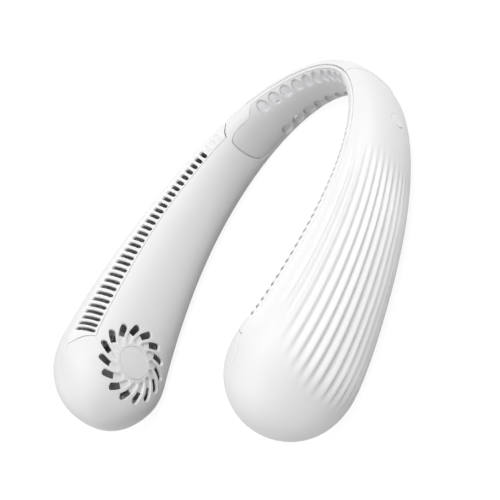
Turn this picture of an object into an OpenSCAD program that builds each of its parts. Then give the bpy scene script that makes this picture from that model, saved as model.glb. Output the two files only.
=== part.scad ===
// Electric neck fan: a U-shaped loop worn round the neck, resting on its lower edge.
// Two arms swell into round fan ends. Air enters the inner face of each end through
// a ring of spiral slots and leaves through a row of vents along the top of each arm.
// +X is the wearer's right arm, +Y points to the back of the neck, +Z is up.

/* [Loop] */
// Half the distance between the middles of the arms at their widest
arm_half_span = 78; // [72:1:84]
// Length of each arm from the back of the neck to its tip
arm_reach = 218; // [205:1:230]
// How far the tips rise out of the plane of the loop
tip_rise = 2.2; // [0:0.1:4]
// Lean of the band at the back of the neck, in degrees
neck_lean = 15; // [8:1:20]

/* [Section] */
// Thickness of the band at the back of the neck
neck_t = 12; // [11:0.5:14]
// Thickness of the fan ends
bulb_t = 44.5; // [43:0.5:48]
// Height of the band at the back of the neck
neck_h = 27; // [25:0.5:30]
// Height of the fan ends
bulb_h = 66; // [64:0.5:70]
// Wall of the moulded shells
wall = 2; // [1.6:0.1:2.4]
// Gap at the seams between the shells
seam_gap = 0.2; // [0.1:0.05:0.3]

/* [Ribs] */
// Depth of the lengthwise ribs on the outer shells
rib_depth = 1.1; // [0.4:0.1:1.4]
// Ribs on each side of the middle one
rib_pairs = 7; // [4:1:7]

/* [Vents] */
// Open slots in each vent strip
vent_count = 31; // [20:1:31]
// Blind slots that carry on the row towards the neck
blind_count = 3; // [0:1:3]
// Width of one slot
vent_w = 2.5; // [1.8:0.1:2.8]
// Depth of the blind slots
blind_depth = 0.6; // [0.3:0.1:1]

/* [Inlet] */
// Diameter of the ring of inlet slots
inlet_d = 41; // [38:0.5:42]
// Number of spiral slots
inlet_slots = 15; // [11:1:17]
// Width of a slot at its outer end
inlet_slot_w = 3.4; // [2.4:0.1:3.8]
// Width of a slot at its inner end
inlet_slot_w_in = 2.3; // [1.4:0.1:2.6]
// Turn of a slot from its inner to its outer end, in degrees
inlet_sweep = 32; // [15:1:40]
// Diameter within which the slots have a floor
floor_d = 29.6; // [26:0.2:31]
// Diameter of the bare disc in the middle
disc_d = 17.6; // [14:0.2:18]
// Thickness of the bare disc
disc_t = 0.5; // [0.3:0.1:0.6]

/* [Impeller] */
// Diameter of the impeller
impeller_d = 40; // [36:0.5:41]
// Width of the blades along the axle
blade_w = 15; // [12:0.5:15.5]
// Thickness of a blade
blade_t = 0.9; // [0.7:0.1:1.2]
// Number of blades
blade_count = 26; // [16:1:30]
// Outer diameter of the hub
hub_d = 22; // [21.4:0.2:24]
// Thickness of the back plate
plate_t = 1.2; // [1:0.1:1.6]

/* [Motor] */
// Diameter of the axle
axle_d = 2; // [1.5:0.1:2.4]
// Gap round the axle in its bearing tube
axle_gap = 0.03; // [0.02:0.01:0.08]
// Outer diameter of the bearing tube
tube_d = 5; // [4.4:0.1:5.6]
// Diameter of the wound core
core_d = 15.4; // [13:0.2:15.8]
// Height of the wound core
core_h = 5; // [4:0.2:5.6]
// Diameter of the magnet ring
magnet_d = 18.8; // [18:0.1:19]
// Thickness of the magnet ring
magnet_t = 1.2; // [0.8:0.1:1.3]
// Diameter of the motor bracket
bracket_d = 27; // [26:0.5:28]
// Thickness of the motor bracket
bracket_t = 1.5; // [1.2:0.1:1.8]

/* [Neck pad] */
// Width of the pad, from end to end
pad_w = 90.6; // [84:0.2:96]
// Height of the pad's upper edge at its ends, above the middle of the band
pad_top = 12.5; // [10:0.5:13]
// Drop of the pad's lower edge at its ends, below the middle of the band
pad_drop = 14.5; // [12:0.5:15]
// Corner radius of the pad
pad_corner = 6; // [3:0.5:9]
// Width of a dimple along the band
dimple_w = 7.6; // [6:0.2:7.8]
// Height of a dimple
dimple_h = 8.8; // [8:0.2:9.4]
// Depth of a dimple
dimple_depth = 1; // [0.5:0.1:1.4]
// Dimples in each row
dimple_count = 10; // [6:1:10]

/* [Controls] */
// Diameter of the power button
button_d = 8; // [6.5:0.1:9]
// Travel of the power button
button_travel = 0.6; // [0.4:0.1:0.8]
// Gap round the button
button_gap = 0.15; // [0.1:0.05:0.25]
// Width of the charging socket
port_w = 8.94; // [8.94:0.01:9]
// Height of the charging socket
port_h = 3.26; // [3.2:0.02:3.3]
// Depth of the charging socket
port_depth = 7.3; // [6.5:0.1:7.5]
// Gap round the charging socket
port_gap = 0.2; // [0.1:0.05:0.3]

/* [Power] */
// Length of a battery
battery_l = 40; // [34:1:42]
// Height of a battery
battery_h = 19; // [16:0.5:20]
// Thickness of a battery
battery_t = 7.5; // [6:0.5:8]
// Diameter of the wiring loom
loom_d = 3; // [2:0.2:3.4]

/* [Hidden] */
$fn = 64;

// The middle line and the section are smooth blends of these shares, one for each
// seventh of the arm from the back of the neck past the tip
span_shares = [0, 0.54, 0.83, 0.97, 1, 0.95, 0.76, 0.57];
reach_shares = [0, 0.095, 0.282, 0.474, 0.675, 0.886, 1, 1.116];
rise_shares = [0, 0, 0, 0, 0, -0.2, 1, 2.2];
thick_shares = [0, 0.04, 0.23, 0.43, 0.63, 0.82, 1, 1.18];
tall_shares = [0, 0.2, 0.3, 0.48, 0.705, 0.96, 1, 1.04];
lean_shares = [1, 0.6, 0.1, -0.13, -0.31, -0.19, 0, 0.2];
// Station of the tip, where its rounding starts, and the length of the rounding
tip_share = 6;
dome_from_share = 4.8;
dome_reach_share = tip_share - dome_from_share;
// Powers of the rounded section on its outer and inner side, at the neck and at the tip
outer_power_shares = [2, 2.2];
inner_power_shares = [2.35, 2.8];
// Small step that finds directions along the form
probe = 0.001;
// Distance that cuts run past the surfaces they cut
over = 1;
// Diameter of the screws' threads, which cut their own way in the bosses
screw_d = 1.5;
// Working clearance between loose inner pieces, and between a lip and the wall over it
ease = 0.3;
lip_gap = 0.3;
// Lips that run under the next shell: their length and thickness
lip_l = 1.5;
lip_t = 1.2;

// Seams: turns round the section, in degrees, counted from the outside up and over
low_seam_turn = -99;
top_seam_turn = 91;
strip_outer_turns = [top_seam_turn, 97];
strip_inner_turns = [132, 139.5];
tip_seam_turn = 90;
tip_seam_fade_share = 0.25;
// Stations where the strip starts and ends, and where the neck cover ends
strip_from_share = 1.42;
strip_to_share = 5.18;
cover_to_share = 1.773*pad_w/2/arm_half_span;
cover_proud = 0.4;
// Stations that the shells and strips share along an arm
arm_shares = [strip_from_share, 1.7, 2, 2.3, 2.55, 2.8, 3.1, 3.4, 3.75, 4.1, 4.4, 4.65, 4.85, 5.02,
    strip_to_share, 5.32, 5.46, 5.62, 5.78, 5.9, 5.975, tip_share];
// The strip widens late: speed and delay of its inner edge
strip_ease_shares = [1.8, 0.45];
// Slant of the strip's two ends from its outer to its inner edge, in stations
strip_slant_shares = [0.12, -0.34];
slant_reach_shares = [0.4, 0.9];

function clamp01(x) = min(max(x, 0), 1);
function smooth(x) = let(t = clamp01(x)) t*t*(3 - 2*t);
function mix(a, b, t) = a + (b - a)*t;
function steps(from, to, count) = [for (i = [0 : count]) mix(from, to, i/count)];
function kernel(t) = let(a = abs(t)) a < 1 ? (4 - 6*a*a + 3*a*a*a)/6 : a < 2 ? pow(2 - a, 3)/6 : 0;
function total(v, i = 0) = i < len(v) ? v[i] + total(v, i + 1) : 0;
// Smooth blend of the shares at station u; odd shares change sign on the left arm
function along(shares, u, odd = false) = total([
    for (k = [max(floor(u) - 1, 1 - len(shares)) : min(floor(u) + 2, len(shares) - 1)])
        kernel(u - k)*shares[abs(k)]*(odd && k < 0 ? -1 : 1)]);

function spine(u) = [arm_half_span*along(span_shares, u, true),
    arm_reach*(0.5 - along(reach_shares, u)), tip_rise*along(rise_shares, u)];
// Length of one station of the middle line at station u
function pace(u) = norm(spine(u + probe) - spine(u - probe))/2/probe;
tip_pace = pace(tip_share);
function heading(u) = let(t = spine(u + probe) - spine(u - probe)) atan2(t[1], t[0]);
function thick(u) = mix(neck_t, bulb_t, along(thick_shares, u));
function tall(u) = mix(neck_h, bulb_h, along(tall_shares, u));
function lean(u) = neck_lean*along(lean_shares, u);
// The tip is a dome: past dome_from_share the section shrinks towards a pole
function dome_share(u) = clamp01((abs(u) - dome_from_share)/dome_reach_share);
function shrink(u) = sqrt(1 - pow(dome_share(u), 2));
function place_of(u, depth) = u - sign(u)*dome_share(u)*depth/tip_pace;
function power_of(u, outer) = outer ? mix(outer_power_shares[0], outer_power_shares[1], abs(u)/tip_share)
    : mix(inner_power_shares[0], inner_power_shares[1], abs(u)/tip_share);

// Point of the section at station u, turned round it and sunk by depth: [outward, upward]
function section(u, turn, depth = 0, shift = 0) =
    let(c = cos(turn), s = sin(turn), power = power_of(u, c >= 0), v = place_of(u, depth))
    [shift + shrink(u)*(thick(v)/2 - depth)*sign(c)*pow(abs(c), 2/power),
     shrink(u)*(tall(v)/2 - depth)*sign(s)*pow(abs(s), 2/power)];
// Point of the loop at station u, placed outward and upward in the leaning section
function at_point(u, out, up) = let(g = heading(u), l = lean(u))
    spine(u) + [-sin(g)*(out*cos(l) - up*sin(l)), cos(g)*(out*cos(l) - up*sin(l)), out*sin(l) + up*cos(l)];
function form(u, turn, depth = 0, shift = 0) = let(p = section(u, turn, depth, shift))
    at_point(place_of(u, depth), p[0], p[1]);
// Half width of the section at a level, on its outer or inner side, sunk by depth
function reach_at(u, up, depth, outer) = let(power = power_of(u, outer),
    dome_part = dome_share(u)*dome_reach_share/(dome_reach_share - depth/tip_pace),
    part = sqrt(max(1 - pow(dome_part, 2), probe)),
    high = part*(tall(u)/2 - depth), wide = part*(thick(u)/2 - depth))
    wide*pow(max(1 - pow(abs(up)/high, power), 0), 1/power);
module at(u, out = 0, up = 0) {
    translate(at_point(u, out, up)) rotate([0, 0, heading(u)]) rotate([lean(u), 0, 0]) children();
}

// The loop rests on the lower edges of the neck and the fan ends
foot_turns = [-120 : 2 : -60];
function lowest(u, depth) = let(v = [for (t = foot_turns) form(u, t, depth)], z = [for (p = v) p[2]])
    v[search(min(z), z)[0]];
low_neck = lowest(0.95, -cover_proud);
low_bulb = lowest(4.6, 0);
rest_lean = atan2(low_neck[2] - low_bulb[2], low_neck[1] - low_bulb[1]);
function leaned(p) = [p[0], p[1]*cos(rest_lean) + p[2]*sin(rest_lean),
    p[2]*cos(rest_lean) - p[1]*sin(rest_lean)];
loop_lift = -min([for (u = [0.8 : 0.05 : 1.05]) for (t = foot_turns) leaned(form(u, t, -cover_proud))[2]]);
loop_front = min([for (u = [5.5 : 0.02 : 6]) for (t = [0 : 10 : 350]) leaned(form(u, t))[1]]);
loop_back = max([for (t = [0 : 3 : 60]) leaned(form(0, t, -cover_proud))[1]]);
module stand() {
    translate([0, -(loop_front + loop_back)/2, loop_lift]) rotate([-rest_lean, 0, 0]) children();
}
module stand_left() {
    stand() mirror([1, 0, 0]) children();
}

// Closed shell over a grid of cells. place(i, j, side) gives the corners on its face 0 and its
// back 1; open(i, j) leaves a cell out; poles closes the first and last row to one point
module grid_shell(rows, cols, place, open = function(i, j) false, poles = [false, false]) {
    layer = (rows + 1)*(cols + 1);
    at = function(i, j, side) side*layer + i*(cols + 1)
        + (((i == 0 && poles[0]) || (i == rows && poles[1])) ? 0 : j);
    solid = function(i, j) i >= 0 && j >= 0 && i < rows && j < cols && !open(i, j);
    corners = [for (side = [0, 1]) for (i = [0 : rows]) for (j = [0 : cols]) place(i, j, side)];
    cells = [for (i = [0 : rows - 1]) for (j = [0 : cols - 1]) if (solid(i, j)) each [
        [at(i, j, 0), at(i + 1, j, 0), at(i + 1, j + 1, 0), at(i, j + 1, 0)],
        [at(i, j, 1), at(i, j + 1, 1), at(i + 1, j + 1, 1), at(i + 1, j, 1)]]];
    rims = [for (i = [0 : rows]) for (j = [0 : cols]) each [
        if (solid(i, j) && !solid(i - 1, j)) [at(i, j, 0), at(i, j + 1, 0), at(i, j + 1, 1), at(i, j, 1)],
        if (solid(i - 1, j) && !solid(i, j)) [at(i, j + 1, 0), at(i, j, 0), at(i, j, 1), at(i, j + 1, 1)],
        if (solid(i, j) && !solid(i, j - 1)) [at(i + 1, j, 0), at(i, j, 0), at(i, j, 1), at(i + 1, j, 1)],
        if (solid(i, j - 1) && !solid(i, j)) [at(i, j, 0), at(i + 1, j, 0), at(i + 1, j, 1), at(i, j, 1)]]];
    halves = [for (f = concat(cells, rims)) each [[f[0], f[1], f[2]], [f[0], f[2], f[3]]]];
    faces = [for (f = halves) if (f[0] != f[1] && f[1] != f[2] && f[2] != f[0]) f];
    polyhedron(corners, faces, convexity = 8);
}
// Slab of the form between two depths, over lists of stations and turns
module slab(stations, turns, top, bottom, shift = 0) {
    grid_shell(len(stations) - 1, len(turns) - 1,
        function(i, j, side) form(stations[i], turns[j], side == 0 ? top : bottom, shift));
}

// Turn that spans a length along the upper or lower surface at station u
function arc(u, length) = length/(tall(u)/2)*180/PI;
function strip_share(u) = clamp01((u - strip_from_share)/(strip_to_share - strip_from_share));
function strip_outer(u) = mix(strip_outer_turns[0], strip_outer_turns[1], smooth(strip_share(u)));
function strip_inner(u) = mix(strip_inner_turns[0], strip_inner_turns[1],
    smooth(strip_ease_shares[0]*strip_share(u) - strip_ease_shares[1]));
// Station lines slant near the strip's ends, from nothing at its outer edge to most at its
// inner edge and nothing again at the inner face
function slanted(u, turn) = let(a = abs(u),
    most = strip_slant_shares[0]*smooth(1 - abs(a - strip_from_share)/slant_reach_shares[0])
        + strip_slant_shares[1]*smooth(1 - abs(a - strip_to_share)/slant_reach_shares[1]),
    part = turn < strip_inner(a) ? (turn - strip_outer(a))/(strip_inner(a) - strip_outer(a))
        : (170 - turn)/(170 - strip_inner(a)))
    sign(u)*(a + most*smooth(part));
function upper_seam(u) = abs(u) < strip_to_share ? strip_outer(abs(u))
    : mix(strip_outer_turns[1], tip_seam_turn, smooth((abs(u) - strip_to_share)/tip_seam_fade_share));

// Outer shells
rib_step_angle = 9;
rib_spread_share = 0.033;
rib_from_share = 2.4;
rib_fade_share = 0.75;
rib_end_shares = [4.65, 0.62];
rib_end_fade_share = 0.42;
function rib_turn(k) = rib_step_angle*k + rib_spread_share*k*k*k;
function rib_share(u, turn) = smooth((u - rib_from_share)/rib_fade_share)
    *smooth((rib_end_shares[0] + rib_end_shares[1]*cos(turn) - u)/rib_end_fade_share);
rib_lines = steps(-rib_pairs - 0.5, rib_pairs + 0.5, 4*rib_pairs + 2);
function groove(k) = abs(k - round(k)) < probe ? 1 : 0;
under_cover_share = 0.2;
cover_edge_share = 0.06;
module outer_shell() {
    ribs = len(rib_lines);
    // each row is [station, depth of the face, depth of the back]
    rows = concat([[cover_to_share - under_cover_share, wall + lip_gap, wall + lip_gap + lip_t],
        [cover_to_share + seam_gap/pace(cover_to_share), wall + lip_gap, wall + lip_gap + lip_t],
        [cover_to_share + 2*seam_gap/pace(cover_to_share), 0, wall + lip_gap + lip_t],
        [cover_to_share + cover_edge_share, 0, wall], [pad_end_share, 0, wall]], [for (u = arm_shares) [u, 0, wall]]);
    turn_at = function(u, j) j == 0 ? low_seam_turn : j == 1 ? -90 :
        j < ribs + 2 ? rib_turn(rib_lines[j - 2]) : j == ribs + 2 ? 88.5 : upper_seam(u);
    grid_shell(len(rows) - 1, ribs + 3,
        function(i, j, side) let(r = rows[i], turn = turn_at(r[0], j),
            sunk = j > 1 && j < ribs + 2 ? groove(rib_lines[j - 2])*rib_depth*rib_share(r[0], turn) : 0)
            form(r[0], turn, sunk + (side == 1 && i == 2 && (j < 3 || j > ribs + 1) ? wall : r[1 + side]),
                seam_gap/2),
        function(i, j) i < 2 && (j < 3 || j > ribs), [false, true]);
}

// Inner shell: one piece round the whole inside of the loop
// The neck's wall is thicker behind the pad, as far as this station
pad_end_share = 1.2*cover_to_share;
pad_wall_fade_share = 0.16;
pad_t = 1.6;
pad_wall = 3.2;
half_shares = concat([0, 0.25, 0.5, 0.75, cover_to_share, pad_end_share], arm_shares);
inner_shares = concat([for (i = [len(half_shares) - 1 : -1 : 1]) -half_shares[i]], half_shares);
module inner_skin() {
    // the first cells lie between the strip's edges, the last two make the lip under the outer
    // shells, which stops short of the tips
    cols = 16;
    top_cells = 3;
    lip_tip_share = 5.6;
    low = 360 + low_seam_turn;
    face_turn = function(u, j) let(b = strip_inner(u))
        j <= top_cells ? mix(upper_seam(u), b, j/top_cells) :
        j <= cols - 2 ? mix(b, low, (j - top_cells)/(cols - 2 - top_cells)) :
        j == cols ? low + arc(u, lip_l) : low;
    back_turn = function(u, j) j < cols - 2 ? face_turn(u, j) : low + (j - cols + 1)*arc(u, lip_t) +
        (j == cols ? arc(u, lip_l - lip_t) : 0);
    back = function(u) mix(pad_wall, wall, smooth((u - pad_end_share)/pad_wall_fade_share));
    grid_shell(len(inner_shares) - 1, cols,
        function(i, j, side) let(u = inner_shares[i], a = abs(u),
            turn = side == 0 ? face_turn(a, j) : back_turn(a, j),
            depth = side == 0 ? (j < cols - 1 ? 0 : wall + lip_gap)
                : j < cols - 2 ? back(a) : wall + lip_gap + lip_t)
            form(slanted(u, turn), turn, depth, -seam_gap/2),
        function(i, j) let(u = abs(inner_shares[i] + inner_shares[i + 1])/2)
            (u > strip_from_share && u < strip_to_share && j < top_cells)
            || (u > lip_tip_share && j >= cols - 2), [true, true]);
}

module inner_shell() {
    color("white") stand() difference() {
        inner_skin();
        intersection() {
            slab(pad_shares, concat([pad_from_turn - 1], pad_turns, [pad_to_turn + 1]), -over,
                pad_t + ease/2);
            pad_prism(seam_gap/2);
        }
        cover_screw_places() {
            cylinder(d = screw_d + ease, h = 2*pad_wall, center = true);
            translate([0, 0, screw_seat]) cylinder(d = cover_head_d + 2*ease, h = pad_wall);
        }
        for (s = [0, 1]) mirror([s, 0, 0]) fan() inlet_cut();
    }
}

// Neck pad: a soft rounded panel in a recess, with two rows of shallow dimples
pad_shares = steps(-1.4, 1.4, 10);
pad_from_turn = 112;
pad_to_turn = 254;
pad_turns = steps(pad_from_turn, pad_to_turn, 11);
pad_shoulder_w = 72;
pad_rise = 6;
dimple_turns = [137, 215];
dimple_pitch_share = 0.2;
module pad_plate(w, high, low) {
    r = pad_corner;
    l = arm_reach/2;
    translate([-w/2, 0, low + r]) cube([w, l, high - low - 2*r]);
    translate([r - w/2, 0, low]) cube([w - 2*r, l, high - low]);
    for (x = [r - w/2, w/2 - r]) for (z = [low + r, high - r])
        translate([x, 0, z]) rotate([-90, 0, 0]) cylinder(r = r, h = l);
}
module pad_prism(grow) {
    pad_plate(pad_w + 2*grow, pad_top + grow, -pad_drop - grow);
    pad_plate(pad_shoulder_w + 2*grow, pad_top + pad_rise + grow, 0);
}
module oval(w, h, t) {
    linear_extrude(t) polygon([for (a = [0 : 15 : 345]) [w/2*cos(a), h/2*sin(a)]]);
}
// Turn of the surface's normal in the section at station u
function normal_turn(u, turn) = let(p = section(u, turn + probe) - section(u, turn - probe))
    atan2(p[1], p[0]) - 90;
// Puts children on the surface with +Z along its normal and +X along the arm
module on_skin(u, turn) {
    p = section(u, turn);
    at(u, p[0], p[1]) rotate([normal_turn(u, turn) - 90, 0, 0]) children();
}
module dimples() {
    middle = (dimple_count - 1)/2;
    for (k = [0 : dimple_count - 1]) for (turn = dimple_turns)
        on_skin((k - middle)*dimple_pitch_share, turn) translate([0, 0, -2*pad_t])
            oval(dimple_w, dimple_h, 4*pad_t);
}
module neck_pad() {
    color("gainsboro") stand() difference() {
        intersection() {
            slab(pad_shares, pad_turns, 0, pad_t);
            pad_prism(-seam_gap/2);
        }
        intersection() {
            slab(pad_shares, pad_turns, -over, dimple_depth);
            dimples();
        }
    }
}

// Neck cover: closes the back of the neck, screwed on from under the pad
cover_screw_share = 0.72;
cover_screw_up = 7;
cover_head_d = 3.4;
cover_head_h = 0.7;
screw_seat = 0.6;
cover_screw_l = 4;
cover_boss_d = 4.4;
cover_shares = steps(-cover_to_share, cover_to_share, 10);
cover_turns = [low_seam_turn, -80, -60, -40, -20, 0, 20, 40, 60, 80, top_seam_turn];
// Puts children on the recess wall's inner side, +Z pointing back towards the pad
module cover_screw_places() {
    for (s = [-1, 1]) for (up = [-cover_screw_up, cover_screw_up])
        at(s*cover_screw_share, pad_wall - reach_at(cover_screw_share, up, 0, false), up)
            rotate([90, 0, 0]) children();
}
module neck_cover() {
    depth = thick(cover_screw_share) - pad_wall - 1.5*wall;
    color("white") stand() difference() {
        union() {
            slab(cover_shares, cover_turns, -cover_proud, wall, seam_gap/2);
            cover_screw_places() translate([0, 0, -depth]) cylinder(d = cover_boss_d, h = depth - lip_gap);
        }
        cover_screw_places() translate([0, 0, -depth + wall]) cylinder(d = screw_d, h = depth);
    }
}
module screw_head(d, h) {
    difference() {
        cylinder(d = d, h = h);
        translate([0, 0, h/2]) cylinder(d = d/2, h = over, $fn = 6);
    }
}
module cover_screws() {
    color("silver") stand() cover_screw_places() {
        translate([0, 0, -cover_screw_l]) cylinder(d = screw_d, h = cover_screw_l + screw_seat);
        translate([0, 0, screw_seat]) screw_head(cover_head_d, cover_head_h);
    }
}

// Vent strips: held by flanges that lie under the edges of both shells
strip_shares = concat([strip_from_share + 2*seam_gap/pace(strip_from_share)],
    [for (u = arm_shares) if (u > strip_from_share && u < strip_to_share) u],
    [strip_to_share - 2*seam_gap/pace(strip_to_share)]);
vent_first_share = 1.92;
vent_last_share = 4.83;
vent_outer_turn = 102;
vent_margin_turn = 3.2;
// Rounded slot across the strip at station u: w along the arm, t deep from the surface
module slot(u, from, to, w, t) {
    a = section(u, from);
    b = section(u, to);
    mid = (a + b)/2;
    l = (norm(b - a) - w)/2;
    at(u, mid[0], mid[1]) rotate([atan2(b[1] - a[1], b[0] - a[0]) + 180, 0, 0]) translate([0, 0, -t])
        linear_extrude(t + 2*over) polygon([for (s = [1, -1]) for (k = [0 : 6])
            [w/2*cos(90*(1 - s) + 30*k), s*l + w/2*sin(90*(1 - s) + 30*k)]]);
}
module vent_strip() {
    cells = 4;
    flange = wall + lip_gap;
    // each column is [turn, face depth, back turn]
    columns = function(u) let(a = strip_outer(u), b = strip_inner(u), g = arc(u, seam_gap/2)) concat(
        [[a - arc(u, lip_l), flange, a - arc(u, lip_l)], [a + g, flange, a], [a + g, 0, a + arc(u, lip_t)]],
        [for (t = [1 : cells - 1]) let(m = mix(a, b, t/cells)) [m, 0, m]],
        [[b - g, 0, b - arc(u, lip_t)], [b - g, flange, b], [b + arc(u, lip_l), flange, b + arc(u, lip_l)]]);
    step = (vent_last_share - vent_first_share)/(vent_count - 1);
    difference() {
        grid_shell(len(strip_shares) - 1, cells + 4, function(i, j, side)
            let(u = strip_shares[i], c = columns(u)[j], turn = side == 0 ? c[0] : c[2])
            form(slanted(u, turn), turn, side == 0 ? c[1] : flange + lip_t));
        for (k = [0 : vent_count - 1]) let(u = vent_first_share + k*step)
            slot(u, vent_outer_turn, strip_inner(u) - vent_margin_turn, vent_w, 3*wall);
        for (k = [1 : blind_count]) let(u = vent_first_share - k*step)
            slot(u, vent_outer_turn - k, strip_inner(u) - vent_margin_turn, vent_w, blind_depth);
    }
}
module left_vent_strip() {
    color("whitesmoke") stand_left() vent_strip();
}
module right_vent_strip() {
    color("whitesmoke") stand() vent_strip();
}

// Fan frame: on the inner face of the fan end, +Z out of the face towards the neck
inlet_share = 5.02;
fan_pace = pace(inlet_share);
function face_heading(u, turn) = let(t = form(u + probe, turn) - form(u - probe, turn))
    atan2(t[1], t[0]);
module on_face(u, turn) {
    translate(form(u, turn)) rotate([0, 0, face_heading(u, turn)]) rotate([lean(u), 0, 0]) children();
}
module fan() {
    on_face(inlet_share, 180) rotate([90, 0, 0]) children();
}
inlet_inner_d = 20;
grille_floor = 1.6;
slot_round = 0.7;
disc_seat = 0.7;
function inlet_turn(r) = inlet_sweep*(r - inlet_inner_d/2)/(inlet_d - inlet_inner_d)*2;
module spiral(r0, r1, from, to) {
    rs = steps(r0, r1, 5);
    reach = (inlet_d - inlet_inner_d)/2;
    half = function(r) mix(inlet_slot_w_in, inlet_slot_w, (r - inlet_inner_d/2)/reach)/2;
    side = function(r, s) let(a = inlet_turn(r) + s*half(r)/r*180/PI) r*[cos(a), sin(a)];
    translate([0, 0, from]) linear_extrude(to - from) polygon(concat([for (r = rs) side(r, -1)],
        [for (s = [-0.6, 0, 0.6]) let(a = inlet_turn(r1 + slot_round) + s*half(r1)/r1*180/PI)
            (r1 + slot_round*(1 - abs(s)/2))*[cos(a), sin(a)]],
        [for (i = [len(rs) - 1 : -1 : 0]) side(rs[i], 1)]));
}
module inlet_cut() {
    for (k = [0 : inlet_slots - 1]) rotate([0, 0, 360/inlet_slots*k]) {
        spiral(inlet_inner_d/2, floor_d/2 + ease, -grille_floor, over);
        spiral(floor_d/2, inlet_d/2 - slot_round, -3*wall, over);
    }
    translate([0, 0, -disc_seat]) cylinder(d = disc_d + seam_gap, h = over + disc_seat);
}
module centre_disc() {
    translate([0, 0, -disc_seat]) cylinder(d = disc_d, h = disc_t);
}
module left_centre_disc() {
    color("white") stand_left() fan() centre_disc();
}
module right_centre_disc() {
    color("white") stand() fan() centre_disc();
}

// Stack inside a fan end, measured from the inner face to the outer wall and back up
press_gap = 0.02;
fan_depth = shrink(inlet_share)*thick(inlet_share);
bracket_room = 3.2;
bracket_drop = fan_depth - wall - rib_depth - bracket_room - bracket_t;
motor_ease = 0.5;
coil_over = 0.5;
hub_top = 1.4;
hub_skirt = 0.7;
hub_lift = 1.7;
hub_rise = 4;
hub_h = hub_top + 2*motor_ease + 2*coil_over + core_h + hub_skirt;
hub_drop = bracket_drop - hub_lift - hub_h;
impeller_drop = hub_drop + hub_rise - blade_w;

// Impeller: forward-curved blades on a back plate, open towards the inlet
blade_ring_d = 29;
blade_sweep_angle = 16;
rim_w = 2.2;
nose_d = 6;
nose_h = 2;
module blade() {
    r0 = blade_ring_d/2;
    r1 = impeller_d/2 - blade_t;
    rs = steps(r0, r1, 5);
    side = function(r, s) let(a = blade_sweep_angle*pow((r - r0)/(r1 - r0), 1.6) + s*blade_t/2/r*180/PI)
        r*[cos(a), sin(a)];
    linear_extrude(blade_w) polygon(concat([for (r = rs) side(r, -1)],
        [for (i = [len(rs) - 1 : -1 : 0]) side(rs[i], 1)]));
}
module ring(outer, inner, h) {
    rotate_extrude() translate([inner/2, 0]) square([(outer - inner)/2, h]);
}
module impeller() {
    low = -impeller_drop - blade_w;
    difference() {
        union() {
            for (k = [0 : blade_count - 1]) rotate([0, 0, 360/blade_count*k])
                translate([0, 0, low - rim_w/4]) blade();
            translate([0, 0, low - plate_t]) ring(impeller_d, hub_d - plate_t, plate_t);
            translate([0, 0, -impeller_drop - rim_w/2]) ring(impeller_d, impeller_d - 2*rim_w, rim_w/2);
            translate([0, 0, -hub_drop - hub_h]) cylinder(d = hub_d, h = hub_h);
            translate([0, 0, -hub_drop - probe]) cylinder(d1 = hub_d*0.6, d2 = nose_d, h = nose_h);
        }
        translate([0, 0, -hub_drop - hub_h - over])
            cylinder(d = magnet_d + 2*press_gap, h = hub_h + over - hub_top);
        translate([0, 0, -hub_drop - hub_h]) cylinder(d = axle_d + 2*press_gap, h = hub_h + nose_h/2);
    }
}
module left_impeller() {
    color("lightgray") stand_left() fan() impeller();
}
module right_impeller() {
    color("lightgray") stand() fan() impeller();
}

// Motor: outer-rotor type, on a bracket screwed to the outer shell
magnet_h = 6;
tooth_count = 9;
tooth_w = 1.6;
yoke_w = 1.2;
shoe_w = 1;
coil_w = 2.8;
boss_r = 11.6;
boss_d = 4.6;
motor_head_d = 3.2;
motor_head_h = 0.8;
motor_screw_l = 3.4;
module magnet_ring() {
    translate([0, 0, -hub_drop - hub_h + motor_ease]) ring(magnet_d, magnet_d - 2*magnet_t, magnet_h);
}
module axle() {
    low = -bracket_drop;
    translate([0, 0, low]) cylinder(d = axle_d, h = nose_h/2 - hub_drop - low - press_gap);
}
module stator() {
    yoke_d = tube_d + 2*yoke_w;
    tooth_from = tube_d/2 + yoke_w/2;
    translate([0, 0, -hub_drop - hub_top - 2*motor_ease - coil_over - core_h]) {
        difference() {
            union() {
                ring(yoke_d, tube_d + 2*press_gap, core_h);
                ring(core_d, core_d - 2*shoe_w, core_h);
                for (k = [0 : tooth_count - 1]) rotate([0, 0, 360/tooth_count*k])
                    translate([tooth_from, -tooth_w/2, 0])
                        cube([core_d/2 - shoe_w/2 - tooth_from, tooth_w, core_h]);
            }
            for (k = [0.5 : tooth_count - 0.5]) rotate([0, 0, 360/tooth_count*k])
                translate([core_d/2 - 1.5*shoe_w, -tooth_w/3, -over])
                    cube([2*shoe_w, tooth_w/1.5, core_h + 2*over]);
        }
        for (k = [0 : tooth_count - 1]) rotate([0, 0, 360/tooth_count*k])
            translate([yoke_d/2 + coil_over/2, -coil_w/2, -coil_over])
                cube([core_d/2 - shoe_w - yoke_d/2 - coil_over, coil_w, core_h + 2*coil_over]);
    }
}
module bearing_tube() {
    top = -hub_drop - hub_top - motor_ease;
    low = -bracket_drop - bracket_t;
    translate([0, 0, low]) ring(tube_d, axle_d + 2*axle_gap, top - low);
}
module motor_screw_places() {
    for (a = [90, 210, 330]) translate([boss_r*cos(a), boss_r*sin(a), -bracket_drop]) children();
}
module motor_bracket() {
    difference() {
        translate([0, 0, -bracket_drop - bracket_t]) cylinder(d = bracket_d, h = bracket_t);
        translate([0, 0, -bracket_drop - 2*bracket_t]) cylinder(d = tube_d + 2*press_gap, h = 3*bracket_t);
        motor_screw_places() cylinder(d = screw_d + 2*ease, h = 3*bracket_t, center = true);
    }
}
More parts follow.
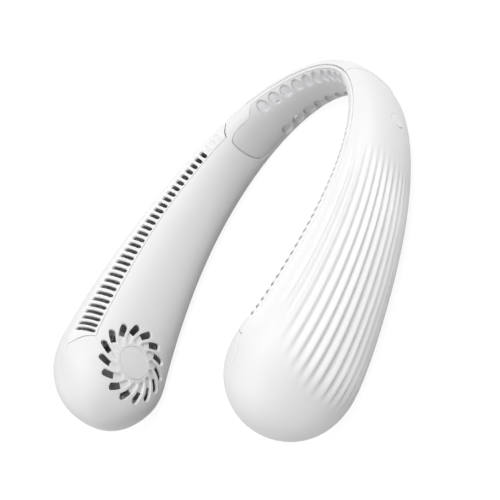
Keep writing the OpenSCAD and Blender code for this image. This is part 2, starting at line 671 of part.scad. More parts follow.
// Depth of the outer wall's middle below the inner face, along the axis of each motor boss
fan_from = form(inlet_share, 180);
fan_way = let(h = face_heading(inlet_share, 180), l = lean(inlet_share))
    [sin(h)*cos(l), -cos(h)*cos(l), -sin(l)];
function wall_drop(x, y) = let(u = inlet_share + x/fan_pace)
    (fan_from - at_point(u, reach_at(u, y, wall/2 + rib_depth/2, true), y))*fan_way;
module motor_bosses(d, deep) {
    for (a = [90, 210, 330]) let(x = boss_r*cos(a), y = boss_r*sin(a), low = -wall_drop(x, y))
        translate([x, y, low + deep]) cylinder(d = d, h = -bracket_drop - bracket_t - low);
}
module motor_screw() {
    translate([0, 0, -motor_screw_l]) cylinder(d = screw_d, h = motor_screw_l);
    screw_head(motor_head_d, motor_head_h);
}
module motor_screws() {
    color("silver") {
        stand() fan() motor_screw_places() motor_screw();
        stand_left() fan() motor_screw_places() motor_screw();
    }
}
module left_magnet_ring() {
    color("dimgray") stand_left() fan() magnet_ring();
}
module right_magnet_ring() {
    color("dimgray") stand() fan() magnet_ring();
}
module left_axle() {
    color("silver") stand_left() fan() axle();
}
module right_axle() {
    color("silver") stand() fan() axle();
}
module left_stator() {
    color("peru") stand_left() fan() stator();
}
module right_stator() {
    color("peru") stand() fan() stator();
}
module left_bearing_tube() {
    color("goldenrod") stand_left() fan() bearing_tube();
}
module right_bearing_tube() {
    color("goldenrod") stand() fan() bearing_tube();
}
module left_motor_bracket() {
    color("darkslategray") stand_left() fan() motor_bracket();
}
module right_motor_bracket() {
    color("darkslategray") stand() fan() motor_bracket();
}

// Outer shells, finished
module finished_shell() {
    difference() {
        union() {
            outer_shell();
            fan() motor_bosses(boss_d, 0);
        }
        fan() motor_bosses(screw_d, wall/2);
    }
}
module left_outer_shell() {
    color("white") stand_left() finished_shell();
}
module right_outer_shell() {
    color("white") stand() difference() {
        union() {
            finished_shell();
            board_frame() board_screw_places(board_drop) cylinder(d = boss_d, h = board_drop - wall/2);
        }
        board_frame() {
            board_screw_places(board_drop + over) cylinder(d = screw_d, h = board_drop - wall);
            rotate([90, 0, 0]) cylinder(d = button_d + 2*button_gap, h = 3*wall, center = true);
            port_place() port_body(port_gap, port_depth + 3*wall);
        }
    }
}

// Air guides: a floor under the vents that curls round the impeller
guide_t = 1.2;
guide_level = 4;
guide_from_share = 2.05;
curl_angles = [176, 412];
curl_r = [22.8, 27];
guide_path = concat(
    [for (u = steps(guide_from_share, inlet_share - 1.25*curl_r[0]/fan_pace, 9)) [u, guide_level]],
    [for (t = [0 : 1/20 : 1])
        let(a = mix(curl_angles[0], curl_angles[1], t), r = mix(curl_r[0], curl_r[1], t))
        [inlet_share + r*cos(a)/fan_pace, r*sin(a)]]);
function path_side(path, i) = let(a = path[max(i - 1, 0)], b = path[min(i + 1, len(path) - 1)],
    d = [(b[0] - a[0])*fan_pace, b[1] - a[1]]) [-d[1]/fan_pace, d[0]]/norm(d);
module air_guide() {
    difference() {
        grid_shell(len(guide_path) - 1, 1, function(i, j, side)
            let(p = guide_path[i] + path_side(guide_path, i)*guide_t*(0.5 - side))
            at_point(p[0], j == 0 ? reach_at(p[0], p[1], wall + rib_depth + ease, true)
                : -reach_at(p[0], p[1], wall + 2*ease, false), p[1]));
        loom_hole();
    }
}
module left_air_guide() {
    color("lightgray") stand_left() air_guide();
}
module right_air_guide() {
    color("lightgray") stand() air_guide();
}

// Batteries, under the air guides
battery_share = 3.02;
battery_round = 1.5;
tab_l = 1;
module battery() {
    r = battery_round;
    at(battery_share, 0, guide_level - guide_t/2 - ease/2 - battery_h/2) {
        translate([-battery_l/2, -battery_t/2, r - battery_h/2])
            cube([battery_l, battery_t, battery_h - 2*r]);
        translate([-battery_l/2, r - battery_t/2, -battery_h/2])
            cube([battery_l, battery_t - 2*r, battery_h]);
        for (y = [r - battery_t/2, battery_t/2 - r]) for (z = [r - battery_h/2, battery_h/2 - r])
            translate([-battery_l/2, y, z]) rotate([0, 90, 0]) cylinder(r = r, h = battery_l);
        translate([-battery_l/2 - tab_l, -tab_l, -battery_h/4]) cube([2*tab_l, 2*tab_l, battery_h/2]);
    }
}
module left_battery() {
    color("steelblue") stand_left() battery();
}
module right_battery() {
    color("steelblue") stand() battery();
}

// Controls: a board behind the button carries the switch and the charging port
button_share = 1.87;
button_turn = -4;
button_proud = 0.3;
board_drop = 5.4;
board_t = 1.2;
board_l = 27;
board_low = -12;
board_top = 3.4;
board_screw_x = 10.5;
board_screw_z = -4;
board_screw_l = 3.4;
chip_w = 4.6;
chip_h = 0.9;
plug_w = 6;
plug_h = 2;
switch_w = 4;
switch_h = 1;
plunger_d = 2.2;
plunger_h = 0.5;
button_flange = 0.7;
module board_frame() {
    on_face(button_share, button_turn) children();
}
module board_screw_places(drop) {
    for (x = [-board_screw_x, board_screw_x]) translate([x, -drop, board_screw_z])
        rotate([-90, 0, 0]) children();
}
port_low = 16.6;
port_skin = 0.3;
module port_place() {
    translate([0, -board_drop - board_t - port_h/2, -port_low]) children();
}
// Body with round ends, opening downwards from its place
module port_body(grow, l) {
    r = port_h/2 + grow;
    w = port_w/2 - port_h/2;
    translate([0, 0, -l + port_depth]) {
        for (x = [-w, w]) translate([x, 0, 0]) cylinder(r = r, h = l);
        translate([-w, -r, 0]) cube([2*w, 2*r, l]);
    }
}
module main_board() {
    color("darkgreen") stand() board_frame() difference() {
        union() {
            translate([-board_l/2, -board_drop - board_t, board_low])
                cube([board_l, board_t, board_top - board_low]);
            translate([chip_w, -board_drop - board_t - chip_h, -chip_w/2]) cube([chip_w, 2*chip_h, chip_w]);
            translate([-board_l/2 + chip_w/2, -board_drop - board_t - plug_h, 0])
                cube([plug_w, 2*plug_h, plug_h]);
        }
        board_screw_places(board_drop + board_t + over) cylinder(d = screw_d + 2*ease, h = board_t + 2*over);
    }
}
module board_screws() {
    color("silver") stand() board_frame() board_screw_places(board_drop + board_t) {
        cylinder(d = screw_d, h = board_screw_l);
        rotate([180, 0, 0]) screw_head(motor_head_d, motor_head_h);
    }
}
module button_switch() {
    color("black") stand() board_frame() translate([0, -board_drop, 0]) {
        translate([-switch_w/2, 0, -switch_w/2]) cube([switch_w, switch_h, switch_w]);
        rotate([-90, 0, 0]) cylinder(d = plunger_d, h = switch_h + plunger_h);
    }
}
module power_button() {
    rest = board_drop - switch_h - plunger_h - button_travel;
    color("white") stand() board_frame() rotate([90, 0, 0]) difference() {
        union() {
            translate([0, 0, -button_proud]) cylinder(d = button_d, h = button_proud + rest);
            translate([0, 0, rest - button_flange])
                cylinder(d = button_d + 2*button_flange, h = button_flange);
        }
        translate([0, 0, -button_proud - over]) {
            difference() {
                ring(button_d/2, button_d/2 - button_proud*2, over + button_proud/2);
                translate([-button_proud*2, 0, -over]) cube([button_proud*4, button_d, 4*over]);
            }
            translate([-button_proud/2, button_d/16, 0])
                cube([button_proud, button_d/4, over + button_proud/2]);
        }
    }
}
module charging_port() {
    skin = port_skin;
    color("silver") stand() board_frame() port_place() {
        difference() {
            port_body(0, port_depth);
            translate([0, 0, -skin]) port_body(-skin, port_depth + over);
        }
        translate([-port_w/2 + port_h/1.5, -skin, skin*3])
            cube([port_w - port_h/0.75, 2*skin, port_depth - skin*4]);
    }
}

// Wiring loom: runs through the loop from motor to motor, between the walls and the batteries
loom_out = [[0, 0.6], [1.2, 0.6], [1.5, -3.4], [2.2, -4.2], [2.42, -5.9], [3.6, -6], [4.36, 9], [4.8, 9.2]];
loom_up = [[0, -2.5], [2.2, -2.5], [3.6, -4], [4.36, 0], [4.8, 0]];
loom_end = 4.74;
loom_soft = 0.06;
function loom_mid(u) = let(v = abs(u)) [for (list = [loom_out, loom_up])
    (lookup(v - loom_soft, list) + lookup(v, list) + lookup(v + loom_soft, list))/3];
module loom_hole() {
    // where the loom passes the curl of the air guide
    u = inlet_share - curl_r[0]/fan_pace;
    at(u, loom_mid(u)[0], loom_mid(u)[1]) rotate([0, 90, 0])
        cylinder(d = loom_d + 4*ease, h = 4*guide_t, center = true);
}
module wiring_loom() {
    rows = concat(steps(-loom_end, -1.2, 17), steps(-0.7, 0.7, 2), steps(1.2, loom_end, 17));
    color("dimgray") stand() grid_shell(len(rows) - 1, 3, function(i, j, side)
        let(u = rows[i], p = loom_mid(u), a = (22.5 + 45*j)*(1 - 2*side))
        at_point(u, p[0] + loom_d/2*cos(a), p[1] + loom_d/2*sin(a)));
}

inner_shell();
left_outer_shell();
right_outer_shell();
left_vent_strip();
right_vent_strip();
neck_cover();
neck_pad();
left_centre_disc();
right_centre_disc();
left_impeller();
right_impeller();
left_magnet_ring();
right_magnet_ring();
left_axle();
right_axle();
left_stator();
right_stator();
left_bearing_tube();
right_bearing_tube();
left_motor_bracket();
right_motor_bracket();
left_air_guide();
right_air_guide();
left_battery();
right_battery();
main_board();
power_button();
button_switch();
charging_port();
wiring_loom();
motor_screws();
board_screws();
cover_screws();
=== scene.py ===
import math

import bpy
import numpy as np
from bpy.props import FloatProperty, FloatVectorProperty, IntProperty, PointerProperty
from mathutils import Matrix, Vector


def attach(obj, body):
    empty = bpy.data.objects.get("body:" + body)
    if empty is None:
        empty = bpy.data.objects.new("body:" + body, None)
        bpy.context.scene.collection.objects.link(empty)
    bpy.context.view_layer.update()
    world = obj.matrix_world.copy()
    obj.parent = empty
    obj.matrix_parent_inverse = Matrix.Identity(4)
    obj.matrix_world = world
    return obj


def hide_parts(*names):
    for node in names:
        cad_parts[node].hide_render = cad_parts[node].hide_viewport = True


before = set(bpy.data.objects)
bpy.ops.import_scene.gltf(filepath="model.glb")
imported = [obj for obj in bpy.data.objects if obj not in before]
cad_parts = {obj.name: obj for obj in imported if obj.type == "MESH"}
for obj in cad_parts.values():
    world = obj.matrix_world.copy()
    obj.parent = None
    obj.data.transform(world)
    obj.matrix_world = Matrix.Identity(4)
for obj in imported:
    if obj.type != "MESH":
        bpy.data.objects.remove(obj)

bl_info = {
    "name": "Neck fan dressing",
    "version": (1, 0, 0),
    "blender": (4, 5, 0),
    "location": "3D View > Sidebar > Neck Fan",
    "description": "Builds the moulded skins, grilles and pad of a neck fan round its packed solids",
    "category": "Object",
}

# Shares of the arm's size, one for each station from the back of the neck to one past the tip
SPAN_SHARES = [0, 0.54, 0.83, 0.97, 1, 0.95, 0.76, 0.57]
REACH_SHARES = [0, 0.095, 0.282, 0.474, 0.675, 0.886, 1, 1.116]
RISE_SHARES = [0, 0, 0, 0, 0, -0.2, 1, 2.2]
THICK_SHARES = [0, 0.04, 0.23, 0.43, 0.63, 0.82, 1, 1.18]
TALL_SHARES = [0, 0.2, 0.3, 0.48, 0.705, 0.96, 1, 1.04]
LEAN_SHARES = [1, 0.6, 0.1, -0.13, -0.31, -0.19, 0, 0.2]
# Powers of the rounded section on its outer and inner side, at the neck and at the tip
OUTER_POWERS = [2, 2.2]
INNER_POWERS = [2.35, 2.8]
# Stations: the tip, where its dome starts, the strip's ends, the inlet, the button, the first and
# the last open slot of a strip, and from one dimple to the next
TIP = 6
DOME_FROM = 4.8
STRIP_FROM = 1.42
STRIP_TO = 5.07
INLET_AT = 5.02
BUTTON_AT = 1.87
VENT_FIRST = 1.92
VENT_LAST = 4.8
DIMPLE_PITCH = 0.2
# Half a dimple's width as a share of the pitch
DIMPLE_SHARE = 0.41
# Turns round the section, in degrees, from the outside over the top
LOW_SEAM = -99
TOP_SEAM = 91
STRIP_OUTER_TURNS = [TOP_SEAM, 97]
STRIP_INNER_TURNS = [132, 139.5]
TIP_SEAM = 90
BUTTON_TURN = -4
DIMPLE_TURNS = [137, 215]
VENT_OUTER_TURN = 102
VENT_MARGIN_TURN = 3.2
# Stations by which the strip's end lines slant, and how far from each end they do
STRIP_SLANTS = [0.12, -0.185]
SLANT_REACHES = [0.4, 0.9]
# Stations of the lowest points of the neck and of the fan ends
NECK_FOOT_AT = 0.95
END_FOOT_AT = 4.6
# Stations of the seam's closing on the left arm: where it starts and how far it takes, and the
# share of its width that closes
CLOSING_SEAM = [5.3, 0.15]
CLOSED_SHARE = 0.9
# Small steps that slopes are taken over: two in stations, one in degrees
PROBE = 0.001
FINE_PROBE = 1e-4
WAY_PROBE = 0.01
SIDES = ("left", "right")


def size(name, default, description):
    """A length in metres that the panel shows."""
    return FloatProperty(
        name=name, default=default, description=description, unit="LENGTH", precision=5
    )


def colour(name, default, description):
    """A colour that the panel shows."""
    return FloatVectorProperty(
        name=name, default=default, description=description, subtype="COLOR", size=3, min=0, max=1
    )


class FanSizes(bpy.types.PropertyGroup):
    """Sizes that the pieces are built from."""

    arm_half_span: size("Half span", 0.078, "Half the distance between the middles of the arms")
    arm_reach: size("Reach", 0.218, "Length of each arm from the back of the neck to its tip")
    tip_rise: size("Tip rise", 0.0022, "Rise of the tips out of the plane of the loop")
    neck_t: size("Neck thickness", 0.012, "Thickness of the band at the back of the neck")
    bulb_t: size("Fan end thickness", 0.0445, "Thickness of the fan ends")
    neck_h: size("Neck height", 0.027, "Height of the band at the back of the neck")
    bulb_h: size("Fan end height", 0.066, "Height of the fan ends")
    wall: size("Wall", 0.0014, "Wall of the moulded shells")
    pad_wall: size("Wall behind the pad", 0.0032, "Wall of the inner shell behind the neck pad")
    seam_gap: size("Seam gap", 0.0003, "Gap at the seams")
    seam_roll: size("Seam rounding", 0.00028, "Rounding of the edges along the seams")
    rib_depth: size("Rib depth", 0.00125, "Depth of the channels between the ribs")
    cover_proud: size("Cover height", 0.0004, "Height of the neck cover above the shells")
    strip_t: size("Strip thickness", 0.0015, "Thickness of a vent strip round its slots")
    vent_w: size("Vent width", 0.0025, "Width of one vent slot")
    blind_depth: size("Blind slot depth", 0.0006, "Depth of the blind slots")
    slot_roll: size("Slot rounding", 0.00022, "Rounding of the edges of the slots")
    inlet_d: size("Inlet diameter", 0.041, "Diameter of the ring of inlet slots")
    inlet_inner_d: size("Inlet inner diameter", 0.0212, "Diameter where the inlet slots start")
    inlet_slot_w: size("Inlet slot width", 0.0040, "Width of an inlet slot at its outer end")
    inlet_slot_w_in: size("Inlet slot inner width", 0.0031, "Width of an inlet slot at its inner end")
    inlet_ahead: size("Inlet ahead", -0.0016, "Shift of the inlet along the arm, towards the tip")
    inlet_up: size("Inlet up", -0.0016, "Shift of the inlet upward")
    grille_floor: size("Grille floor", 0.0010, "Depth of the floor of the inlet slots")
    disc_d: size("Disc diameter", 0.0176, "Diameter of the bare disc")
    disc_t: size("Disc thickness", 0.0005, "Thickness of the bare disc")
    disc_seat: size("Disc seat", 0.0007, "Depth of the seat of the bare disc")
    disc_gap: size("Disc gap", 0.0002, "Gap round the bare disc")
    cover_w: size("Cover width", 0.0906, "Width of the neck cover")
    pad_w: size("Pad width", 0.0932, "Width of the neck pad")
    pad_top: size("Pad top", 0.0121, "Height of the pad's upper edge at its ends")
    pad_drop: size("Pad drop", 0.0145, "Drop of the pad's lower edge at its ends")
    pad_corner: size("Pad corner", 0.0032, "Corner radius of the pad")
    pad_t: size("Pad thickness", 0.0021, "Thickness of the pad")
    dimple_h: size("Dimple height", 0.0086, "Height of a dimple")
    dimple_depth: size("Dimple depth", 0.0018, "Depth of a dimple")
    button_d: size("Button diameter", 0.008, "Diameter of the power button")
    button_gap: size("Button gap", 0.00015, "Gap round the button")
    button_proud: size("Button height", 0.0003, "Height of the button above the shell")
    port_w: size("Port width", 0.00894, "Width of the charging socket")
    port_h: size("Port height", 0.00326, "Height of the charging socket")
    port_gap: size("Port gap", 0.0002, "Gap round the charging socket")
    port_drop: size("Port drop", 0.00823, "Distance of the socket's middle from the button's face")
    neck_lean: FloatProperty(name="Neck lean", default=15, description="Lean of the band, degrees")
    inlet_sweep: FloatProperty(name="Inlet sweep", default=29, description="Turn of a slot, degrees")
    inlet_phase: FloatProperty(name="Inlet phase", default=-4, description="Start of a slot, degrees")
    inlet_slots: IntProperty(name="Inlet slots", default=15, description="Number of spiral slots")
    vent_count: IntProperty(name="Vents", default=31, description="Open slots in a vent strip")
    blind_count: IntProperty(name="Blind vents", default=3, description="Blind slots in a strip")
    dimple_count: IntProperty(name="Dimples", default=10, description="Dimples in each row")


class FanColours(bpy.types.PropertyGroup):
    """Colours of the materials."""

    shell: colour("Shell", (0.84, 0.84, 0.845), "Moulded shells")
    trim: colour("Trim", (0.86, 0.86, 0.865), "Vent strips, discs and button")
    pad: colour("Pad", (0.74, 0.74, 0.75), "Silicone neck pad")
    impeller: colour("Impeller", (0.75, 0.75, 0.755), "Impellers")
    guide: colour("Air guide", (0.35, 0.35, 0.352), "Air guides")
    backdrop: colour("Backdrop", (1.0, 1.0, 1.0), "Floor and backdrop")


def mix(a, b, t):
    """Value at the share t of the way from a to b."""
    return a + (b - a) * t


def smooth(x):
    """Share that leaves 0 and reaches 1 without a corner: three squares less two cubes."""
    t = np.clip(x, 0, 1)
    return t * t * (3 - 2 * t)


def kernel(t):
    """Cubic bell over four stations whose copies, one at each whole station, add up to 1."""
    a = np.abs(t)
    return np.where(a < 1, (4 - 6 * a**2 + 3 * a**3) / 6, np.where(a < 2, (2 - a) ** 3 / 6, 0))


def along(shares, u, odd=False):
    """Smooth blend of the shares at station u: each share times the bell round its own station.
    Odd shares change sign on the left arm."""
    count = len(shares)
    total = np.zeros_like(u)
    for k in range(1 - count, count):
        total = total + kernel(u - k) * shares[abs(k)] * (-1 if odd and k < 0 else 1)
    return total


def unit(v):
    """Vectors scaled to length 1."""
    return v / np.maximum(np.linalg.norm(v, axis=-1, keepdims=True), 1e-12)


class Form:
    """The loop's surface: a rounded section carried along the middle line of both arms.
    Stations u run from -6 over the neck at 0 to 6; ways run round the section in degrees."""

    def __init__(self, s):
        self.s = s
        self.tip_pace = float(self.pace(np.array(float(TIP))))
        self.settle()

    def spine(self, u):
        """Middle line: half span, reach and rise, each times the blend of its shares."""
        u = np.asarray(u, float)
        s = self.s
        return np.stack([
            s.arm_half_span * along(SPAN_SHARES, u, True),
            s.arm_reach * (0.5 - along(REACH_SHARES, u)),
            s.tip_rise * along(RISE_SHARES, u),
        ], -1)

    def pace(self, u):
        """Length of one station: the middle line's difference over a small step."""
        step = self.spine(u + PROBE) - self.spine(u - PROBE)
        return np.linalg.norm(step, axis=-1) / 2 / PROBE

    def leaning(self, u, step):
        """Level heading of a step, and the outward and upward directions, which lean with the
        band at station u."""
        heading = unit(step * [1, 1, 0])
        side = np.stack([-heading[..., 1], heading[..., 0], 0 * heading[..., 0]], -1)
        lean = np.radians(self.s.neck_lean * along(LEAN_SHARES, np.asarray(u, float)))[..., None]
        upright = np.array([0, 0, 1.0])
        c, s = np.cos(lean), np.sin(lean)
        return heading, c * side + s * upright, c * upright - s * side

    def axes(self, u):
        """Directions along the middle line, outward and upward."""
        return self.leaning(u, self.spine(u + PROBE) - self.spine(u - PROBE))

    def dome(self, u):
        """Share of the dome that lies behind station u."""
        return np.clip((np.abs(u) - DOME_FROM) / (TIP - DOME_FROM), 0, 1)

    def half_sizes(self, u, v, depth):
        """Half width and half height: the blended sizes at v less the depth, shrunk in the dome
        by the root of one less its squared share."""
        shrink = np.sqrt(np.maximum(1 - self.dome(u) ** 2, 0))
        wide = mix(self.s.neck_t, self.s.bulb_t, along(THICK_SHARES, v)) / 2
        tall = mix(self.s.neck_h, self.s.bulb_h, along(TALL_SHARES, v)) / 2
        return shrink * (wide - depth), shrink * (tall - depth)

    def power(self, u, outer):
        """Power of the rounded section: a share of the way from its neck to its tip value."""
        part = np.abs(u) / TIP
        return np.where(outer, mix(*OUTER_POWERS, part), mix(*INNER_POWERS, part))

    def raw(self, u, way, depth=0.0, shift=0.0):
        """Point of the loop before it is stood: along the section's ray at the angle way, as far
        as the sum of both shares raised to the power is one."""
        u, way, depth = np.broadcast_arrays(*(np.asarray(x, float) for x in (u, way, depth)))
        v = u - np.sign(u) * self.dome(u) * depth / self.tip_pace
        wide, tall = self.half_sizes(u, v, depth)
        c, s = np.cos(np.radians(way)), np.sin(np.radians(way))
        p = self.power(u, c >= 0)
        ray = (np.abs(c) ** p + np.abs(s) ** p) ** (-1 / p)
        out, up = shift + wide * c * ray, tall * s * ray
        _, outward, upward = self.axes(v)
        return self.spine(v) + out[..., None] * outward + up[..., None] * upward

    def settle(self):
        """Stands the loop on its lowest points: leans it until neck and fan ends are level, then
        lifts it to the floor and centres its length."""
        turns = np.arange(-120, -59, 2.0)
        proud = -self.s.cover_proud
        feet = []
        for u, depth in ((NECK_FOOT_AT, proud), (END_FOOT_AT, 0)):
            p = self.raw(u, self.way(u, turns), depth)
            feet.append(p[p[:, 2].argmin()])
        rise, run = feet[0][2] - feet[1][2], feet[0][1] - feet[1][1]
        rest = math.atan2(rise, run)
        c, s = math.cos(rest), math.sin(rest)
        self.turned = np.array([[1, 0, 0], [0, c, s], [0, -s, c]])

        def reached(u, turns, depth=0.0):
            """Points at the turns of a station, leant but not yet moved."""
            return self.raw(u, self.way(u, turns), depth) @ self.turned.T

        # Stations and turns that hold the lowest, the foremost and the rearmost point
        low = reached(np.arange(0.8, 1.051, 0.05)[:, None], turns, proud)[..., 2].min()
        front = reached(np.arange(5.5, 6.001, 0.02)[:, None], np.arange(0, 360, 10.0))[..., 1].min()
        back = reached(0.0, np.arange(0, 61, 3.0), proud)[..., 1].max()
        self.moved = np.array([0, -(front + back) / 2, -low])

    def stand(self, p):
        """Points turned by the rest angle and moved onto the floor."""
        return p @ self.turned.T + self.moved

    def point(self, u, way, depth=0.0, shift=0.0):
        """Point of the loop as it stands."""
        return self.stand(self.raw(u, way, depth, shift))

    def bent(self, u, angle, inverse=False):
        """Angle in the same lap whose tangent is the given one's raised to two over the section's
        power, or the inverse of that."""
        t = np.radians(angle)
        c, s = np.cos(t), np.sin(t)
        p = self.power(u, c >= 0) / 2
        p = p if inverse else 1 / p
        bent = np.degrees(np.arctan2(np.sign(s) * np.abs(s) ** p, np.sign(c) * np.abs(c) ** p))
        return bent + 360 * np.round((angle - bent) / 360)

    def way(self, u, turn):
        """Angle of the ray that meets the section at a turn."""
        return self.bent(u, turn)

    def turn_of(self, u, way):
        """Turn at which the ray at the angle way meets the section."""
        return self.bent(u, way, inverse=True)

    def strip_edges(self, u):
        """Turns of the vent strip's two edges, which widen smoothly towards the tip."""
        share = np.clip((u - STRIP_FROM) / (STRIP_TO - STRIP_FROM), 0, 1)
        inner = mix(*STRIP_INNER_TURNS, smooth(1.8 * share - 0.45))
        return mix(*STRIP_OUTER_TURNS, smooth(share)), inner

    def upper_seam(self, u):
        """Turn of the seam on top, which runs to the tip's pole past the strip."""
        past = mix(STRIP_OUTER_TURNS[1], TIP_SEAM, smooth((u - STRIP_TO) / 0.25))
        return np.where(u < STRIP_TO, self.strip_edges(u)[0], past)

    def slants(self, u):
        """Slant of a station line at the strip's inner edge, near its first and its last end."""
        first = STRIP_SLANTS[0] * smooth(1 - np.abs(u - STRIP_FROM) / SLANT_REACHES[0])
        last = STRIP_SLANTS[1] * smooth(1 - np.abs(u - STRIP_TO) / SLANT_REACHES[1])
        return first, last * smooth((TIP - u) / 0.4)

    def slanted(self, u, turn):
        """Station line across the strip that slants near its ends, most at its inner edge."""
        first, last = self.slants(u)
        outer, inner = self.strip_edges(u)
        return u + (first + last) * smooth((turn - outer) / (inner - outer))

    def paces(self, u, way):
        """Lengths of one station and of one degree at a point of the surface."""
        a = self.raw(u + FINE_PROBE, way) - self.raw(u - FINE_PROBE, way)
        b = self.raw(u, way + WAY_PROBE) - self.raw(u, way - WAY_PROBE)
        a, b = (np.linalg.norm(x, axis=-1) for x in (a, b))
        return a / (2 * FINE_PROBE), b / (2 * WAY_PROBE)

    def frame_on(self, u, turn):
        """Origin and axes of the frame that lies on the surface: along, out of the face, up.
        Columns of the second value are the axes."""
        o, after, before = (self.raw(v, self.way(v, turn)) for v in (u, u + PROBE, u - PROBE))
        return o, np.stack(self.leaning(u, after - before), -1)

    def seek(self, measure, target, start):
        """Stations and ways whose measure meets the target: ten Newton steps with slopes from
        small differences."""
        uv = np.array(np.broadcast_to(start, target.shape), float)
        for _ in range(10):
            f = measure(self.raw(uv[:, 0], uv[:, 1]))
            fu = (measure(self.raw(uv[:, 0] + 1e-5, uv[:, 1])) - f) / 1e-5
            fw = (measure(self.raw(uv[:, 0], uv[:, 1] + 1e-3)) - f) / 1e-3
            gap = target - f
            det = fu[:, 0] * fw[:, 1] - fu[:, 1] * fw[:, 0]
            step = np.stack([
                (gap[:, 0] * fw[:, 1] - gap[:, 1] * fw[:, 0]) / det,
                (fu[:, 0] * gap[:, 1] - fu[:, 1] * gap[:, 0]) / det,
            ], -1)
            uv += np.clip(step, [-0.3, -25], [0.3, 25])
        return uv


# Cells round a rolled edge, and the angle in degrees above which an edge stays sharp
ROLL_STEPS = 3
SHARP_FROM = 38


def square_loop(ns, nt):
    """Corners round the edge of a square from -1 to 1, from the middle of its low side, with ns
    cells along the first way and nt, an even number, along the second."""
    half = np.linspace(0, 1, nt // 2 + 1)
    side = np.linspace(-1, 1, ns + 1)[1:]
    x = np.concatenate([0 * half - 1, side, 0 * half[1:] + 1])
    y = np.concatenate([half, 0 * side + 1, half[-2::-1]])
    first = np.stack([x, y], -1)
    return np.concatenate([first, (first * [1, -1])[-2:0:-1]])


def rounded(p, half, r):
    """Points of the unit square's edge carried onto a rounded box: each is drawn towards the
    inner box, then set one radius away from it."""
    q = p * half
    core = np.clip(q, r - np.asarray(half), np.asarray(half) - r)
    return core + r * unit(q - core)


class Sheet:
    """Cells in the plane of stations and ways, each corner with a depth of its own."""

    def __init__(self):
        self.corners = []
        self.cells = []
        self.count = 0

    def add(self, corners, cells, turn_by=None):
        """Adds cells, turned as one so that those of turn_by, or all, wind the same way."""
        test = cells if turn_by is None else cells[:turn_by]
        p = corners[test][..., :2]
        a, b = p[:, 2] - p[:, 0], p[:, 3] - p[:, 1]
        if (a[:, 0] * b[:, 1] - a[:, 1] * b[:, 0]).sum() > 0:
            cells = cells[:, ::-1]
        self.corners.append(corners)
        self.cells.append(cells + self.count)
        self.count += len(corners)

    def grid(self, u, way, keep=None, depth=0.0):
        """A grid of cells over stations and ways; keep is a mask of the cells that stay."""
        r, c = u.shape
        corners = np.stack([u, way, np.full(u.shape, float(depth))], -1).reshape(-1, 3)
        base = np.arange(r - 1)[:, None] * c + np.arange(c - 1)
        cells = np.stack([base, base + 1, base + c + 1, base + c], -1)
        self.add(corners, (cells if keep is None else cells[keep]).reshape(-1, 4))

    def rings(self, loops, lid=None, centre=None):
        """Bands of cells between loops of corners. A lid of n pairs across the last loop closes
        it as far as pair n; a centre closes it to one point."""
        m = len(loops[0])
        k = np.arange(m)
        n = (k + 1) % m
        bands = [np.stack([i * m + k, i * m + n, (i + 1) * m + n, (i + 1) * m + k], -1)
                 for i in range(len(loops) - 1)]
        corners = np.concatenate(loops)
        last = (len(loops) - 1) * m
        if lid:
            a = np.arange(lid)
            bands.append(np.stack([a, a + 1, (m - a - 1) % m, (m - a) % m], -1) + last)
        if centre is not None:
            hub = np.full(m, len(corners))
            corners = np.concatenate([corners, centre[None]])
            bands.append(np.stack([last + k, last + n, hub, hub], -1))
        self.add(corners, np.concatenate(bands), turn_by=m)

    def mirrored(self):
        """Adds the same cells on the other arm."""
        corners = np.concatenate(self.corners)
        cells = np.concatenate(self.cells)
        self.corners = [corners, corners * [-1, 1, 1]]
        self.cells = [cells, cells[:, ::-1] + len(corners)]
        self.count = 2 * len(corners)

    def merged(self):
        """Corners that meet made one; cells as rows of four numbers, a triangle's last two alike."""
        corners = np.concatenate(self.corners)
        corners[np.abs(corners[:, 0]) > TIP - 1e-6, 1] = 90
        key = np.round(corners / [1e-5, 1e-4, 1e-9] + 0.137).astype(np.int64)
        _, first, back = np.unique(key, axis=0, return_index=True, return_inverse=True)
        cells = back.reshape(-1)[np.concatenate(self.cells)]
        for _ in range(4):
            same = cells[:, 2] == cells[:, 3]
            again = (cells != np.roll(cells, -1, 1)).sum(1) < 4
            cells = np.where((again & ~same)[:, None], np.roll(cells, 1, 1), cells)
        solid = (np.diff(np.sort(cells, 1)) > 0).sum(1) > 1
        return corners[first], cells[solid]


def face_normals(points, cells):
    """Normal of each cell, as long as twice its area: the cross product of its diagonals."""
    p = points[cells]
    tri = cells[:, 2] == cells[:, 3]
    a = p[:, 2] - p[:, 0]
    b = np.where(tri[:, None], p[:, 2] - p[:, 1], p[:, 3] - p[:, 1])
    return np.cross(a, b)


